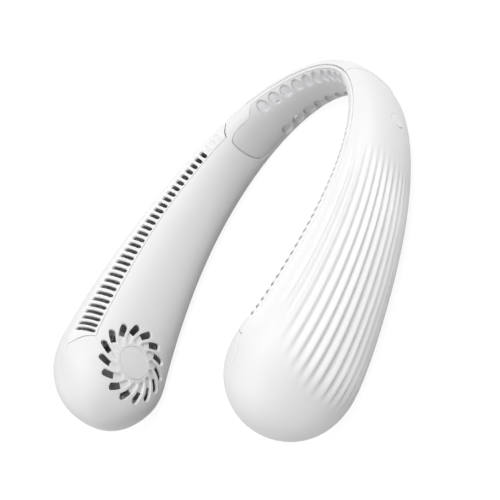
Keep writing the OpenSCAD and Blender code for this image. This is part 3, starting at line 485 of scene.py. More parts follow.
def dressed(sheet, place, wall, roll, share=None):
    """Closed skin from a sheet: the face, edges rolled over by an arc of radius roll, a wall and
    the back. place(u, way, depth) gives points, wall(u) the back's depth, share(u) a share of roll.
    Each rolled corner lies on the arc: sine of the angle outward, one less cosine down."""
    corners, cells = sheet.merged()
    u, way, depth = corners.T
    top = place(u, way, depth)
    deep = np.broadcast_to(wall(u), u.shape)
    back = place(u, way, deep)
    n = len(top)
    edges = np.concatenate([cells[:, [i, (i + 1) % 4]] for i in range(4)])
    edges = edges[edges[:, 0] != edges[:, 1]]
    key, other = edges[:, 0] * n + edges[:, 1], edges[:, 1] * n + edges[:, 0]
    rim = edges[~np.isin(key, other)]
    ids = np.unique(rim)
    m = len(ids)
    slot_of = np.full(n, -1)
    slot_of[ids] = np.arange(m)
    after, before = np.zeros(m, int), np.zeros(m, int)
    after[slot_of[rim[:, 0]]] = rim[:, 1]
    before[slot_of[rim[:, 1]]] = rim[:, 0]
    flow = np.zeros_like(top)
    fn = face_normals(top, cells)
    for i in range(4):
        np.add.at(flow, cells[:, i], fn)
    normal = unit(flow)[ids]
    outward = unit(np.cross(unit(top[after] - top[before]), normal))
    base = top[ids].copy()
    flat = (depth[ids] < 1e-9)[:, None]
    roll = roll * (share(u[ids])[:, None] if share else 1)
    top[ids] = np.where(flat, base - roll * outward, base)
    loops = []
    for k in range(1, ROLL_STEPS + 1):
        a = math.pi / 2 * k / ROLL_STEPS
        arc = base - roll * (1 - math.sin(a)) * outward - roll * (1 - math.cos(a)) * normal
        down = place(u[ids], way[ids], mix(depth[ids], deep[ids], k / (ROLL_STEPS + 1)))
        loops.append(np.where(flat, arc, down))
    points = np.concatenate([top] + loops + [back])
    a, b = rim.T
    lines = [(a, b)] + [(slot_of[a] + n + k * m, slot_of[b] + n + k * m) for k in range(ROLL_STEPS)]
    lines.append((a + n + ROLL_STEPS * m, b + n + ROLL_STEPS * m))
    bands = [np.stack([upper[1], upper[0], lower[0], lower[1]], -1)
             for upper, lower in zip(lines, lines[1:])]
    under = cells[:, ::-1] + n + ROLL_STEPS * m
    tri = cells[:, 2] == cells[:, 3]
    under = np.where(tri[:, None], np.roll(under, -1, 1), under)
    return points, np.concatenate([cells] + bands + [under])


def piece(name, node, skin, side="right", body="housing"):
    """Object in the place of a solid, from its skin's points and faces of four corners; a triangle
    repeats one of its corners. The left piece of a pair is mirrored."""
    points, faces = skin
    if side == "left":
        points, faces = points * [-1, 1, 1], faces[:, ::-1]
    keep = faces != np.roll(faces, -1, 1)
    counts = keep.sum(1)
    solid = counts > 2
    keep, counts = keep[solid], counts[solid]
    loops = faces[solid][keep]
    mesh = bpy.data.meshes.new(name)
    mesh.vertices.add(len(points))
    mesh.vertices.foreach_set("co", points.astype(np.float32).ravel())
    mesh.loops.add(len(loops))
    mesh.loops.foreach_set("vertex_index", loops.astype(np.int32))
    mesh.polygons.add(len(counts))
    starts = np.concatenate([[0], np.cumsum(counts)[:-1]]).astype(np.int32)
    mesh.polygons.foreach_set("loop_start", starts)
    mesh.polygons.foreach_set("use_smooth", np.ones(len(counts), bool))
    mesh.update(calc_edges=True)
    mesh.validate()
    mesh.set_sharp_from_angle(angle=math.radians(SHARP_FROM))
    obj = bpy.data.objects.new(name, mesh)
    bpy.context.scene.collection.objects.link(obj)
    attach(obj, body)
    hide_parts(node)
    return obj


def rows_between(a, b, step):
    """Even values from a to b, both included, no further apart than step."""
    return np.linspace(a, b, max(int(math.ceil(abs(b - a) / step)), 1) + 1)


def dome_rows(a, step):
    """Stations from a to the tip, crowded towards the pole as the sine of an even angle."""
    from_angle = math.asin((a - DOME_FROM) / (TIP - DOME_FROM))
    angles = rows_between(from_angle, math.pi / 2, step)
    return DOME_FROM + (TIP - DOME_FROM) * np.sin(angles)


def cut_block(u, way, rows, cols):
    """Mask without the block of cells between the given rows and columns, and the corners round
    that block in the order of square_loop."""
    keep = np.ones((u.shape[0] - 1, u.shape[1] - 1), bool)
    keep[rows[0]:rows[1], cols[0]:cols[1]] = False
    ns, nt = rows[1] - rows[0], cols[1] - cols[0]
    p = square_loop(ns, nt)
    i = np.round(mix(rows[0], rows[1], (p[:, 0] + 1) / 2)).astype(int)
    j = np.round(mix(cols[0], cols[1], (p[:, 1] + 1) / 2)).astype(int)
    loop = np.stack([u[i, j], way[i, j], np.zeros(len(p))], -1)
    return keep, loop, p


def run_of(path, dense=1):
    """Length of a path up to each of its points, each step times its weight."""
    steps = np.linalg.norm(np.diff(path, axis=0), axis=1)
    return np.concatenate([[0], np.cumsum(dense * steps)])


def at_run(at, run, path):
    """Points of a path at the given lengths."""
    return np.stack([np.interp(at, run, column) for column in path.T], -1)


def blended(a, b, count):
    """Loops on the straight way from loop a to loop b, both included."""
    return [mix(a, b, t) for t in np.linspace(0, 1, count + 1)]


def blend_line(a, b, count):
    """Corners on the straight way from corner a to corner b, both included."""
    return mix(a, b, np.linspace(0, 1, count + 1)[:, None])


def edge_profile(roll, depth, draft=0.00004):
    """Insets and depths of a cut's edge: an arc over its lip, then a wall down to its floor."""
    arc = [(-roll * (1 - math.sin(a)), roll * (1 - math.cos(a)))
           for a in np.linspace(0, math.pi / 2, 4)]
    return arc + [(draft, depth)]


# Outer shells

# Turn from one channel to the next, how fast it grows with the cube of the channel's number, the
# station where the ribs start and the stations over which they grow, and the channels on each side
RIB_TURN_STEP = 9
RIB_SPREAD = 0.033
RIB_FROM = 2.4
RIB_FADE = 0.75
RIB_PAIRS = 7
# Station where the ribs end on top and below, how much further they reach on the outside, and the
# stations over which they die away
RIB_END = 4.65
RIB_END_SWING = 0.62
RIB_END_FADE = 0.42
# Start of the channels' laps in radians, and the share of the cosine that makes them steeper
RIB_PHASE = 0.15
RIB_SKEW = 0.25
# Cells across a shell, and the rows' spacing
SHELL_CELLS = 180
SHELL_STEP = 0.032
# Cells left out round the holes: half their stations, and half the degrees or the columns. The
# socket's middle lies about at SOCKET_WAY.
BORE_BLOCK = (0.155, 25)
SOCKET_BLOCK = (0.17, (2, 22))
SOCKET_WAY = -86.0


def rib_share(u, turn):
    """Strength of the ribs: it grows past their start and dies away along a round end."""
    end = RIB_END + RIB_END_SWING * np.cos(np.radians(turn))
    return smooth((u - RIB_FROM) / RIB_FADE) * smooth((end - u) / RIB_END_FADE)


def rib_number(turn):
    """Number k of the channel at a turn: the root of the spread times k cubed plus the step times
    k less the turn."""
    k = turn / 12
    for _ in range(20):
        gap = RIB_TURN_STEP * k + RIB_SPREAD * k**3 - turn
        k = k - gap / (RIB_TURN_STEP + 3 * RIB_SPREAD * k**2)
    return k


def rib_sunk(form, u, way):
    """Depth of the channels: half of one plus the cosine of a lap for each channel, the lap less a
    quarter of its own cosine, so that each hollow is a little steeper on its upper side."""
    turn = form.turn_of(u, way)
    k = rib_number(turn)
    lap = 2 * np.pi * k + RIB_PHASE
    wave = 0.5 + 0.5 * np.cos(lap - RIB_SKEW * np.cos(lap))
    inside = smooth((RIB_PAIRS + 0.5 - np.abs(k)) / 0.02)
    return form.s.rib_depth * rib_share(u, turn) * wave * inside


def seam_share(u, side):
    """Share of the seam's width: it closes up round the tip of the left arm, where none shows."""
    closed = smooth((u - CLOSING_SEAM[0]) / CLOSING_SEAM[1]) if side == "left" else 0 * u
    return 1 - CLOSED_SHARE * closed


def add_hole(sheet, form, u, way, block, outline, plane, start):
    """Hole in a grid: a block of its cells is left out, and the block's corners are led to the
    outline, drawn in a plane of the button's frame. Gives the mask of the cells that stay."""
    keep, loop, p = cut_block(u, way, *block)
    o, axes = form.frame_on(BUTTON_AT, BUTTON_TURN)

    def edge(inset):
        """Corners whose points lie on the outline at an inset."""
        uv = form.seek(lambda q: (q - o) @ axes[:, plane], outline(p, inset), [BUTTON_AT, start])
        return with_depth(uv, 0)

    sheet.rings(blended(loop, edge(-form.s.seam_roll * 1.3), 3) + [edge(0)])
    return keep


def build_outer_shell(form, side):
    """Ribbed shell of one arm: the form's outer side from the cover to the pole, sunk by the rib
    channels; the right one has round holes for the button and the socket."""
    s = form.s
    start = cover_end(s) + s.seam_gap / float(form.pace(np.array(cover_end(s))))
    rows = np.concatenate([rows_between(start, DOME_FROM, SHELL_STEP)[:-1],
                           dome_rows(DOME_FROM, SHELL_STEP)])
    top, low = form.way(rows, form.upper_seam(rows)), form.way(rows, LOW_SEAM)
    way = mix(low[:, None], top[:, None], np.linspace(0, 1, SHELL_CELLS + 1)[None])
    u = np.broadcast_to(rows[:, None], way.shape)
    sheet = Sheet()
    keep = np.ones((way.shape[0] - 1, way.shape[1] - 1), bool)
    if side == "right":
        half = np.array([s.port_w, s.port_h]) / 2 + s.port_gap

        def bore(p, inset):
            """Circle round the button."""
            return unit(p) * (s.button_d / 2 + s.button_gap - inset)

        def socket(p, inset):
            """Rounded box round the charging socket, below the button."""
            return rounded(p, half - inset, half[1] - inset) - [0, s.port_drop]

        reach, span = BORE_BLOCK
        i = np.searchsorted(rows, [BUTTON_AT - reach, BUTTON_AT + reach])
        j = np.searchsorted(way[i[0]], [BUTTON_TURN - span, BUTTON_TURN + span])
        j[1] += (j[1] - j[0]) % 2
        from_way = float(form.way(BUTTON_AT, BUTTON_TURN))
        keep &= add_hole(sheet, form, u, way, (i, j), bore, [0, 2], from_way)
        reach, j = SOCKET_BLOCK
        i = np.searchsorted(rows, [BUTTON_AT - reach, BUTTON_AT + reach])
        keep &= add_hole(sheet, form, u, way, (i, j), socket, [0, 1], SOCKET_WAY)
    sheet.grid(u, way, keep)

    def share(u):
        """Share of the seam's width."""
        return seam_share(u, side)

    def place(u, way, depth):
        """Point sunk by the channels and kept off the seam by half its gap."""
        return form.point(u, way, depth + rib_sunk(form, u, way), s.seam_gap / 2 * share(u))

    skin = dressed(sheet, place, lambda u: s.wall, s.seam_roll, share)
    return piece(side + "_ribbed_shell", side + "_outer_shell", skin, side)


# Stations for each half span of the cover's half width
COVER_STATIONS = 1.773


def cover_end(s):
    """Station where the neck cover ends."""
    return COVER_STATIONS * s.cover_w / 2 / s.arm_half_span


def with_depth(uv, depth):
    """Stations and ways with one depth for all."""
    return np.concatenate([uv, np.full((len(uv), 1), float(depth))], 1)


# Inner shell with the spiral inlets and the pad's recess

# Cells of an inlet's sector: across it, along it, and pairs of corners from its inner end that
# the slot's floor spans
SECTOR_CELLS = 12
SLOT_CELLS = 22
FLOOR_PAIRS = SECTOR_CELLS // 2 + 10
# Station where the inlet's block of cells starts, its rows and their spacing. Its rows and columns
# together are half the cells round the inlet.
BLOCK_FROM = 4.3
BLOCK_ROWS = 46
BLOCK_STEP = 0.0328
# Spacing of the inner shell's rows before the block
BODY_STEP = 0.04
# Down the face the strip's first slant grows by this share over these degrees, and its last one
# dies away as far as this turn
SLANT_GROWTH = (1.2, 30)
SLANT_GONE = 170
# Station where the inner shell's rows start to follow the dome, and their spacing there
DOME_ROWS_FROM = 5.72
DOME_ROWS_STEP = 0.03
# Cells of the inner shell over the vent strip and below it, along the neck, and from the strip's
# start to the neck's seams
TOP_CELLS = 12
FACE_CELLS = 62
NECK_CELLS = 60
BESIDE_CELLS = (14, 18)
# Stations over which the wall behind the pad thins to the wall of the rest
THINNING = (1.24, 0.16)
# Room under the pad
PAD_ROOM = 0.00015
# Share of a spiral slot's half width that its round ends take up
INLET_ROUND = 0.96
# Flat rims round the ring of slots and round the disc's seat
INLET_RIMS = (0.0008, 0.0006)
# About the length of a station, and the section's radius, at a fan end
END_RADIUS = 0.036


def inlet_frame(form):
    """Origin and axes of the inlet on the inner face: the face's frame moved by the inlet's shift."""
    o, axes = form.frame_on(INLET_AT, 180)
    return o + axes[:, 0] * form.s.inlet_ahead + axes[:, 2] * form.s.inlet_up, axes


def inlet_turn(s, r):
    """Angle in degrees of the middle of a slot at radius r, in step with the radius."""
    inner = s.inlet_inner_d / 2
    return s.inlet_phase + s.inlet_sweep * (r - inner) / (s.inlet_d / 2 - inner)


def slot_outline(s, p, inset):
    """Radii and angles of a slot's outline: a rounded box bent along the spiral, each point set
    off square to it; its half width is a share of the way from its inner to its outer width."""
    inner, outer = s.inlet_inner_d / 2, s.inlet_d / 2
    r = np.linspace(inner - 0.001, outer + 0.001, 400)
    a = np.radians(inlet_turn(s, r))
    mid = np.stack([r * np.cos(a), r * np.sin(a)], -1)
    run = run_of(mid)
    way = unit(np.gradient(mid, run, axis=0))
    first, last = np.interp([inner, outer], r, run)
    reach, width = (last - first) / 2, (s.inlet_slot_w + s.inlet_slot_w_in) / 4
    q = rounded(p, np.array([reach, width]) - inset, (width - inset) * INLET_ROUND)
    at = (first + last) / 2 + q[:, 0]
    half = mix(s.inlet_slot_w_in, s.inlet_slot_w, np.clip((at - first) / (last - first), 0, 1)) / 2
    side = at_run(at, run, way[:, ::-1] * [-1, 1])
    xy = at_run(at, run, mid) + side * (q[:, 1] / width * half)[:, None]
    return np.hypot(xy[:, 0], xy[:, 1]), np.degrees(np.arctan2(xy[:, 1], xy[:, 0]))


def add_inlet(sheet, form, loop):
    """Spiral inlet inside a loop of corners: sectors round the seat of the disc, each with a slot
    whose inner part has a floor."""
    s = form.s
    o, axes = inlet_frame(form)
    outer, inner = s.inlet_d / 2 + INLET_RIMS[0], s.disc_d / 2 + INLET_RIMS[1]
    slots = s.inlet_slots
    step = 360 / slots
    p = square_loop(SLOT_CELLS, SECTOR_CELLS)
    m, count = len(p), slots * SECTOR_CELLS
    cell_r = mix(inner, outer, (p[:, 0] + 1) / 2)
    lines = [(cell_r, inlet_turn(s, cell_r) + step / 2 * p[:, 1], 0)]
    for inset, depth in edge_profile(s.slot_roll, s.grille_floor):
        lines.append(slot_outline(s, p, inset) + (depth,))
    spin = np.arange(count) / count * 360 + inlet_turn(s, inner)
    seat = s.disc_d / 2 + s.disc_gap
    rims = [(inner, 0)] + [(seat - i, d) for i, d in edge_profile(s.slot_roll * 0.7, s.disc_seat)]
    circles = [(np.full(count, r), spin, depth) for r, depth in rims]
    circles.append((np.full(count, outer), spin - inlet_turn(s, inner) + inlet_turn(s, outer), 0))
    turns = step * np.arange(slots)[:, None]
    rings = [(np.tile(r, slots), (turns + a).ravel()) for r, a, _ in lines]
    rings += [c[:2] for c in circles] + [([0], [0])]
    radius, angle = (np.concatenate(column) for column in zip(*rings))
    a = np.radians(angle)
    xy = np.stack([radius * np.cos(a), radius * np.sin(a)], -1)
    start = np.stack([xy[:, 0] / END_RADIUS + INLET_AT, 180 - np.degrees(xy[:, 1] / END_RADIUS)], -1)
    uv = form.seek(lambda q: (q - o) @ axes[:, [0, 2]], xy, start)
    cut = len(lines) * slots * m
    block, rest = uv[:cut].reshape(len(lines), slots, m, 2), uv[cut:]
    for k in range(slots):
        loops = [with_depth(block[i, k], lines[i][2]) for i in range(len(lines))]
        sheet.rings(blended(loops[0], loops[1], 3) + loops[2:], lid=FLOOR_PAIRS)
    rings = [with_depth(rest[i * count:(i + 1) * count], c[2]) for i, c in enumerate(circles)]
    hub = with_depth(rest[-1:], s.disc_seat)[0]
    sheet.rings(rings[:-1] + [mix(rings[-2], hub[None], 0.5)], centre=hub)
    turned = [np.roll(loop[::way], shift, 0) for way in (1, -1) for shift in range(count)]
    to_mm = [1000 * END_RADIUS, math.radians(1000 * END_RADIUS)]
    gaps = [(((line - rings[-1])[:, :2] * to_mm) ** 2).sum() for line in turned]
    sheet.rings(blended(turned[int(np.argmin(gaps))], rings[-1], 3))


# Turns of the pad's upper edge and of its lowest line, and half the stations of its straight part
PAD_TOP_TURN = 106
PAD_LOW_TURN = 254
PAD_SPAN = 1.0
# Length over which the upper edge passes to the height of its ends
PAD_SHOULDER = 0.0024
# Radius of the band's section and length of a station there, both rough, for a first guess
PAD_GUESS = (0.018, 0.032)


def pad_edges(form, u, inset):
    """Ways of the pad's upper and lower edge at the stations between its ends."""
    s = form.s
    top = form.way(u, PAD_TOP_TURN)
    top = top + inset / form.paces(u, top)[1]
    drop = np.full((len(u), 1), -s.pad_drop + inset)
    low = form.way(u, 225.0)
    for _ in range(8):
        rise = form.raw(u, low + WAY_PROBE) - form.raw(u, low - WAY_PROBE)
        slope = rise[:, 2:] / (2 * WAY_PROBE)
        low = low + np.clip((drop - form.raw(u, low)[:, 2:]) / slope, -8, 8)[:, 0]
    limit = form.way(u, PAD_LOW_TURN)
    return top, np.minimum(low, limit - inset / form.paces(u, limit)[1])


def pad_loop(form, spans, cells, inset):
    """Outline of the pad: along the upper edge, round the right end, back along the lower edge
    and round the left end. An end is a rounded box seen from behind, cut by its weighted length."""
    s = form.s
    u = np.linspace(-PAD_SPAN, PAD_SPAN, spans + 1)
    top, low = pad_edges(form, u, inset)
    line = np.linspace(0, 1, 241)[:, None]
    r = s.pad_corner - inset
    x1, y1, y0 = s.pad_w / 2 - inset, s.pad_top - inset, -s.pad_drop + inset
    start, end = form.raw(u[-1], top[-1])[[0, 2]], form.raw(u[-1], low[-1])[[0, 2]]
    arc = math.pi / 2 * line
    shoulder = mix(start, np.array([x1 - r, y1]), line)
    shoulder[:, 1] = mix(start[1], y1, smooth((shoulder[:, 0] - start[0]) / PAD_SHOULDER))
    path = np.concatenate([
        shoulder,
        np.array([x1 - r, y1 - r]) + r * np.concatenate([np.sin(arc), np.cos(arc)], 1),
        mix(np.array([x1, y1 - r]), np.array([x1, y0 + r]), line),
        np.array([x1 - r, y0 + r]) + r * np.concatenate([np.cos(arc), -np.sin(arc)], 1),
        mix(np.array([x1 - r, y0]), end, line),
    ])
    # Rows crowd at the shoulder and at the corners
    dense = np.repeat([1.8, 2.2, 1, 2.2, 1], len(line))[1:]
    run = run_of(path, dense)
    q = at_run(np.linspace(0, run[-1], cells + 1), run, path)
    rise = np.arcsin(np.clip(q[:, 1] / PAD_GUESS[0], -0.9, 0.9))
    guess = np.stack([q[:, 0] / PAD_GUESS[1], 180 - np.degrees(rise)], -1)
    cap = form.seek(lambda x: x[:, [0, 2]], q, guess)
    cap[0], cap[-1] = (u[-1], top[-1]), (u[-1], low[-1])
    over, under = np.stack([u, top], -1), np.stack([u, low], -1)[::-1]
    return np.concatenate([over[:-1], cap[:-1], under[:-1], (cap * [-1, 1])[::-1][:-1]])


def pad_fill(sheet, loop, spans, cells, depth, cut=None):
    """Fills the pad's outline: rows between its upper and lower edge, and at both ends rows that
    spread from the last straight one to the outline. cut may move the corners and leave cells out."""
    m = 2 * (spans + cells)
    levels = np.linspace(0, 1, cells + 1)
    over, under = loop[:spans + 1], loop[spans + cells:2 * spans + cells + 1][::-1]
    u = over[:, :1] + 0 * levels[None]
    way = mix(over[:, 1:2], under[:, 1:2], levels[None])
    keep = np.ones((spans, cells), bool)
    if cut is not None:
        u, way, keep = cut(u, way, keep)
    sheet.grid(u, way, keep, depth)
    for ends in (1, -1):
        first = spans if ends > 0 else 2 * spans + cells
        line = loop[np.arange(first, first + cells + 1) % m][:, :2]
        row = np.stack([x[-1 if ends > 0 else 0] for x in (u, way)], -1)[::ends]
        rows = mix(row[None], line[None], np.linspace(0, 1, 9)[:, None, None])
        sheet.grid(rows[..., 0], rows[..., 1], None, depth)


def build_inner_shell(form):
    """Inner shell, one piece round the loop: the form's inner side, open where the vent strips
    lie, with the spiral inlets and the recess of the neck pad."""
    s = form.s
    foot_turn = 360.0 + LOW_SEAM
    body = rows_between(STRIP_FROM, BLOCK_FROM, BODY_STEP)
    near = rows_between(BLOCK_FROM, STRIP_TO, BLOCK_STEP)
    past = rows_between(STRIP_TO, DOME_ROWS_FROM, BLOCK_STEP)
    dome = dome_rows(DOME_ROWS_FROM, DOME_ROWS_STEP)
    rows = np.concatenate([body[:-1], near[:-1], past[:-1], dome])
    top_turn, edge_turn = (x[:, None] for x in (form.upper_seam(rows), form.strip_edges(rows)[1]))
    turns_top = mix(top_turn, edge_turn, np.linspace(0, 1, TOP_CELLS + 1)[None, :-1])
    u = rows[:, None]
    first, last = form.way(u, edge_turn), form.way(u, foot_turn)
    low = mix(first, last, np.linspace(0, 1, FACE_CELLS + 1)[None])
    starting, ending = form.slants(u)
    growth = 1 + SLANT_GROWTH[0] * smooth((low - first) / SLANT_GROWTH[1])
    share = (SLANT_GONE - form.turn_of(u, low)) / (SLANT_GONE - edge_turn)
    low_u = u + starting * growth + ending * smooth(share)
    top_u = form.slanted(u, turns_top)
    us = np.concatenate([top_u, low_u], 1)
    ways = np.concatenate([form.way(top_u, turns_top), low], 1)
    mid = (rows[1:] + rows[:-1]) / 2
    i0, j0 = int(np.argmin(np.abs(rows - BLOCK_FROM))), TOP_CELLS + 1
    columns = s.inlet_slots * SECTOR_CELLS // 2 - BLOCK_ROWS
    keep, loop, _ = cut_block(us, ways, (i0, i0 + BLOCK_ROWS), (j0, j0 + columns))
    keep[np.ix_((mid > STRIP_FROM) & (mid < STRIP_TO), np.arange(TOP_CELLS))] = False
    sheet = Sheet()
    add_inlet(sheet, form, loop)
    sheet.grid(us, ways, keep)
    sheet.mirrored()
    beside, below = BESIDE_CELLS
    ends = beside + TOP_CELLS + FACE_CELLS + below
    u = np.linspace(-PAD_SPAN, PAD_SPAN, NECK_CELLS + 1)
    seam = np.stack([u, form.way(u, TOP_SEAM)], -1)
    foot = np.stack([u, form.way(u, foot_turn)], -1)[::-1]
    row = np.stack([us[0], ways[0]], -1)
    side = np.concatenate([blend_line(seam[-1], row[0], beside)[:-1], row,
                           blend_line(row[-1], foot[0], below)[1:]])
    side[:beside, 1] = form.way(side[:beside, 0], TOP_SEAM)
    side[-below:, 1] = form.way(side[-below:, 0], foot_turn)
    edge = np.concatenate([seam[:-1], side[:-1], foot[:-1], (side * [-1, 1])[::-1][:-1]])
    recess = s.pad_t + PAD_ROOM
    loops = [with_depth(pad_loop(form, NECK_CELLS, ends, inset - s.seam_gap / 2), depth)
             for inset, depth in edge_profile(s.seam_roll, recess, 0.00003)]
    sheet.rings(blended(with_depth(edge, 0), loops[0], 8) + loops[1:])
    pad_fill(sheet, loops[-1], NECK_CELLS, ends, recess)

    def share(u):
        """Share of the seam's width; the left arm has the negative stations."""
        return seam_share(-u, "left")

    def place(u, way, depth):
        """Point kept off the seam by half its gap."""
        return form.point(u, way, depth, -s.seam_gap / 2 * share(u))

    def wall(u):
        """Wall, thicker behind the pad."""
        return mix(s.pad_wall, s.wall, smooth((np.abs(u) - THINNING[0]) / THINNING[1]))

    skin = dressed(sheet, place, wall, s.seam_roll, share)
    return piece("inner_face_shell", "inner_shell", skin)


# Cells of a dimple's block along and across the pad
DIMPLE_CELLS = (10, 18)
# Room above and below a dimple in its block of cells, and the least rim that stays there
DIMPLE_ROOM = 0.0007
DIMPLE_RIM = 0.00045
# Rounding of a dimple's lip, and insets and shares of the depth down its wall
DIMPLE_LIP = 0.00014
DIMPLE_WALL = ((0.00006, 0.8), (0.00016, 0.95), (0.0004, 1))


def build_neck_pad(form):
    """Silicone pad in the recess: its outline filled by a grid with two rows of oval dimples, each
    an arc over its lip, a wall and a flat floor."""
    s = form.s
    sheet = Sheet()
    count, (per, tall) = s.dimple_count, DIMPLE_CELLS
    spans = count * per
    margin, between = 2, 10
    columns = np.cumsum([0, margin, tall, between, tall, margin])
    cells = int(columns[-1])
    loop = pad_loop(form, spans, cells, s.seam_gap / 2)
    half_h = s.dimple_h / 2

    def cut(u, way, keep):
        """Moves the columns to the dimples' edges and puts a dimple in each block of cells."""
        top, low = way[:, 0], way[:, -1]
        rim = 0.00012
        marks = [top, top + rim / form.paces(u[:, 0], top)[1]]
        for turn, reach in zip(DIMPLE_TURNS, (half_h + DIMPLE_ROOM, -half_h - DIMPLE_ROOM)):
            w = form.way(u[:, 0], turn)
            for _ in range(8):
                w = w + reach / 8 / form.paces(u[:, 0], w)[1]
            marks.append(w)
        marks += [low - rim / form.paces(u[:, 0], low)[1], low]
        for a, b, mark, following in zip(columns, columns[1:], marks, marks[1:]):
            way[:, a:b + 1] = mix(mark[:, None], following[:, None], np.linspace(0, 1, b - a + 1)[None])
        for k in range(count):
            at = (k - (count - 1) / 2) * DIMPLE_PITCH
            for turn, j in zip(DIMPLE_TURNS, columns[[1, 3]]):
                around, cell, p = cut_block(u, way, (k * per, k * per + per), (j, j + tall))
                keep &= around
                add_dimple(cell, p, at, turn)
        return u, way, keep

    def add_dimple(cell, p, u0, turn):
        """Oval dimple inside a loop of corners, its reach measured along the section."""
        w = np.linspace(cell[:, 1].min(), cell[:, 1].max(), 81)
        du, dw = form.paces(np.full_like(w, u0), w)
        run = np.concatenate([[0], np.cumsum((dw[1:] + dw[:-1]) / 2 * np.diff(w))])
        here = np.interp(float(form.way(u0, turn)), w, run)
        up, down = (min(half_h, x - DIMPLE_RIM) for x in (here, run[-1] - here))
        half_w = DIMPLE_SHARE * DIMPLE_PITCH * float(np.interp(here, run, du))
        q = unit(p)

        def oval(inset, depth):
            """Oval whose half axes are the dimple's less the inset."""
            x = q[:, 0] * (half_w - inset)
            y = q[:, 1] * (np.where(q[:, 1] > 0, down, up) - inset)
            at = np.interp(here + y, run, w)
            return with_depth(np.stack([u0 + x / np.interp(at, w, du), at], -1), depth)

        wall = [(inset, s.dimple_depth * share) for inset, share in DIMPLE_WALL]
        profile = edge_profile(DIMPLE_LIP, wall[0][1], wall[0][0]) + wall[1:]
        lines = [oval(inset, depth) for inset, depth in profile]
        hub = lines[-1].mean(0)
        inner = [mix(lines[-1], hub[None], 0.5)]
        sheet.rings(blended(cell, lines[0], 2) + lines[1:] + inner, centre=hub)

    pad_fill(sheet, with_depth(loop, 0), spans, cells, 0, cut)
    skin = dressed(sheet, form.point, lambda u: s.pad_t, s.seam_roll * 1.4)
    return piece("dimpled_neck_pad", "neck_pad", skin)


# Cells of a slot's block along and across the strip
STRIP_CELLS = (8, 22)
# Share of a slot's half width that its round ends take up
VENT_ROUND = 0.98
# Height over the strip's back at which the walls of an open slot end
VENT_STOP = 0.0003


def build_vent_strip(form, side):
    """Vent strip of one arm: a row of cells, each with a slot across the strip, a rounded box
    carried onto the surface; the first few slots are blind."""
    s = form.s
    sheet = Sheet()
    gap = s.seam_gap / END_RADIUS
    step = (VENT_LAST - VENT_FIRST) / (s.vent_count - 1)
    stations = VENT_FIRST + step * np.arange(-s.blind_count, s.vent_count)
    borders = np.concatenate([stations - step / 2, [stations[-1] + step / 2]])

    def line(u, t):
        """Way at a share from the strip's outer edge (-1) to its inner edge (1)."""
        outer, inner = form.strip_edges(u)
        trim = np.degrees(s.seam_gap / 2 / form.half_sizes(u, u, 0)[1])
        return mix(form.way(u, outer + trim), form.way(u, inner - trim), (t + 1) / 2)

    shares = np.linspace(-1, 1, STRIP_CELLS[1] + 1)
    part = np.linspace(0, 1, 9)[:, None]
    for end, border, way in ((STRIP_FROM + gap, borders[0], 1), (STRIP_TO - gap, borders[-1], -1)):
        turns = mix(*form.strip_edges(np.array(end)), (shares + 1) / 2)
        slant = form.slanted(np.array(end), turns)
        u = mix(slant, np.full_like(slant, border), part)[::way]
        sheet.grid(u, line(u, np.broadcast_to(shares, u.shape)))
    p = square_loop(*STRIP_CELLS)
    for k, u0 in enumerate(stations):
        blind = k < s.blind_count
        cell_u = mix(borders[k], borders[k + 1], (p[:, 0] + 1) / 2)
        cell = with_depth(np.stack([cell_u, line(cell_u, p[:, 1])], -1), 0)
        first = VENT_OUTER_TURN - (s.blind_count - k if blind else 0)
        last = form.strip_edges(np.array(u0))[1] - VENT_MARGIN_TURN
        a, b = float(form.way(u0, first)), float(form.way(u0, last))
        w0 = (a + b) / 2
        du = form.paces(u0, w0)[0]
        dw = np.linalg.norm(form.raw(u0, b) - form.raw(u0, a)) / abs(b - a)
        half = np.array([s.vent_w / 2, abs(b - a) / 2 * dw])

        def slot(inset, depth):
            """Rounded box across the strip, smaller by the inset."""
            xy = rounded(p, half - inset, (half[0] - inset) * VENT_ROUND)
            return with_depth(np.stack([u0 + xy[:, 0] / du, w0 + xy[:, 1] / dw], -1), depth)

        deep = s.blind_depth if blind else s.strip_t - VENT_STOP
        lines = [slot(i, d) for i, d in edge_profile(s.slot_roll * (0.6 if blind else 1), deep)]
        sheet.rings(blended(cell, lines[0], 2) + lines[1:], lid=len(p) // 2 if blind else None)
    skin = dressed(sheet, form.point, lambda u: s.strip_t, s.seam_roll)
    return piece(side + "_slotted_strip", side + "_vent_strip", skin, side)


# Spacing of the cover's rows, and cells across it
COVER_STEP = 0.03
COVER_CELLS = 60


def build_neck_cover(form):
    """Cover over the back of the neck: the form's outer side, a little proud of the shells."""
    s = form.s
    sheet = Sheet()
    u = rows_between(-cover_end(s), cover_end(s), COVER_STEP)[:, None]
    across = np.linspace(0, 1, COVER_CELLS + 1)[None]
    ways = mix(form.way(u, LOW_SEAM), form.way(u, TOP_SEAM), across)
    sheet.grid(np.broadcast_to(u, ways.shape), ways)

    def place(u, way, depth):
        """Point raised above the shells."""
        return form.point(u, way, depth - s.cover_proud, s.seam_gap / 2)

    skin = dressed(sheet, place, lambda u: s.wall + s.cover_proud, s.seam_roll * 1.5)
    return piece("back_cover", "neck_cover", skin)


# Disc: rounding of its rim, how far inside the rim the groove lies, half its width and its depth
DISC_ROLL = 0.00015
GROOVE_IN = 0.00085
GROOVE_HALF = 0.00018
GROOVE_DEPTH = 0.00012


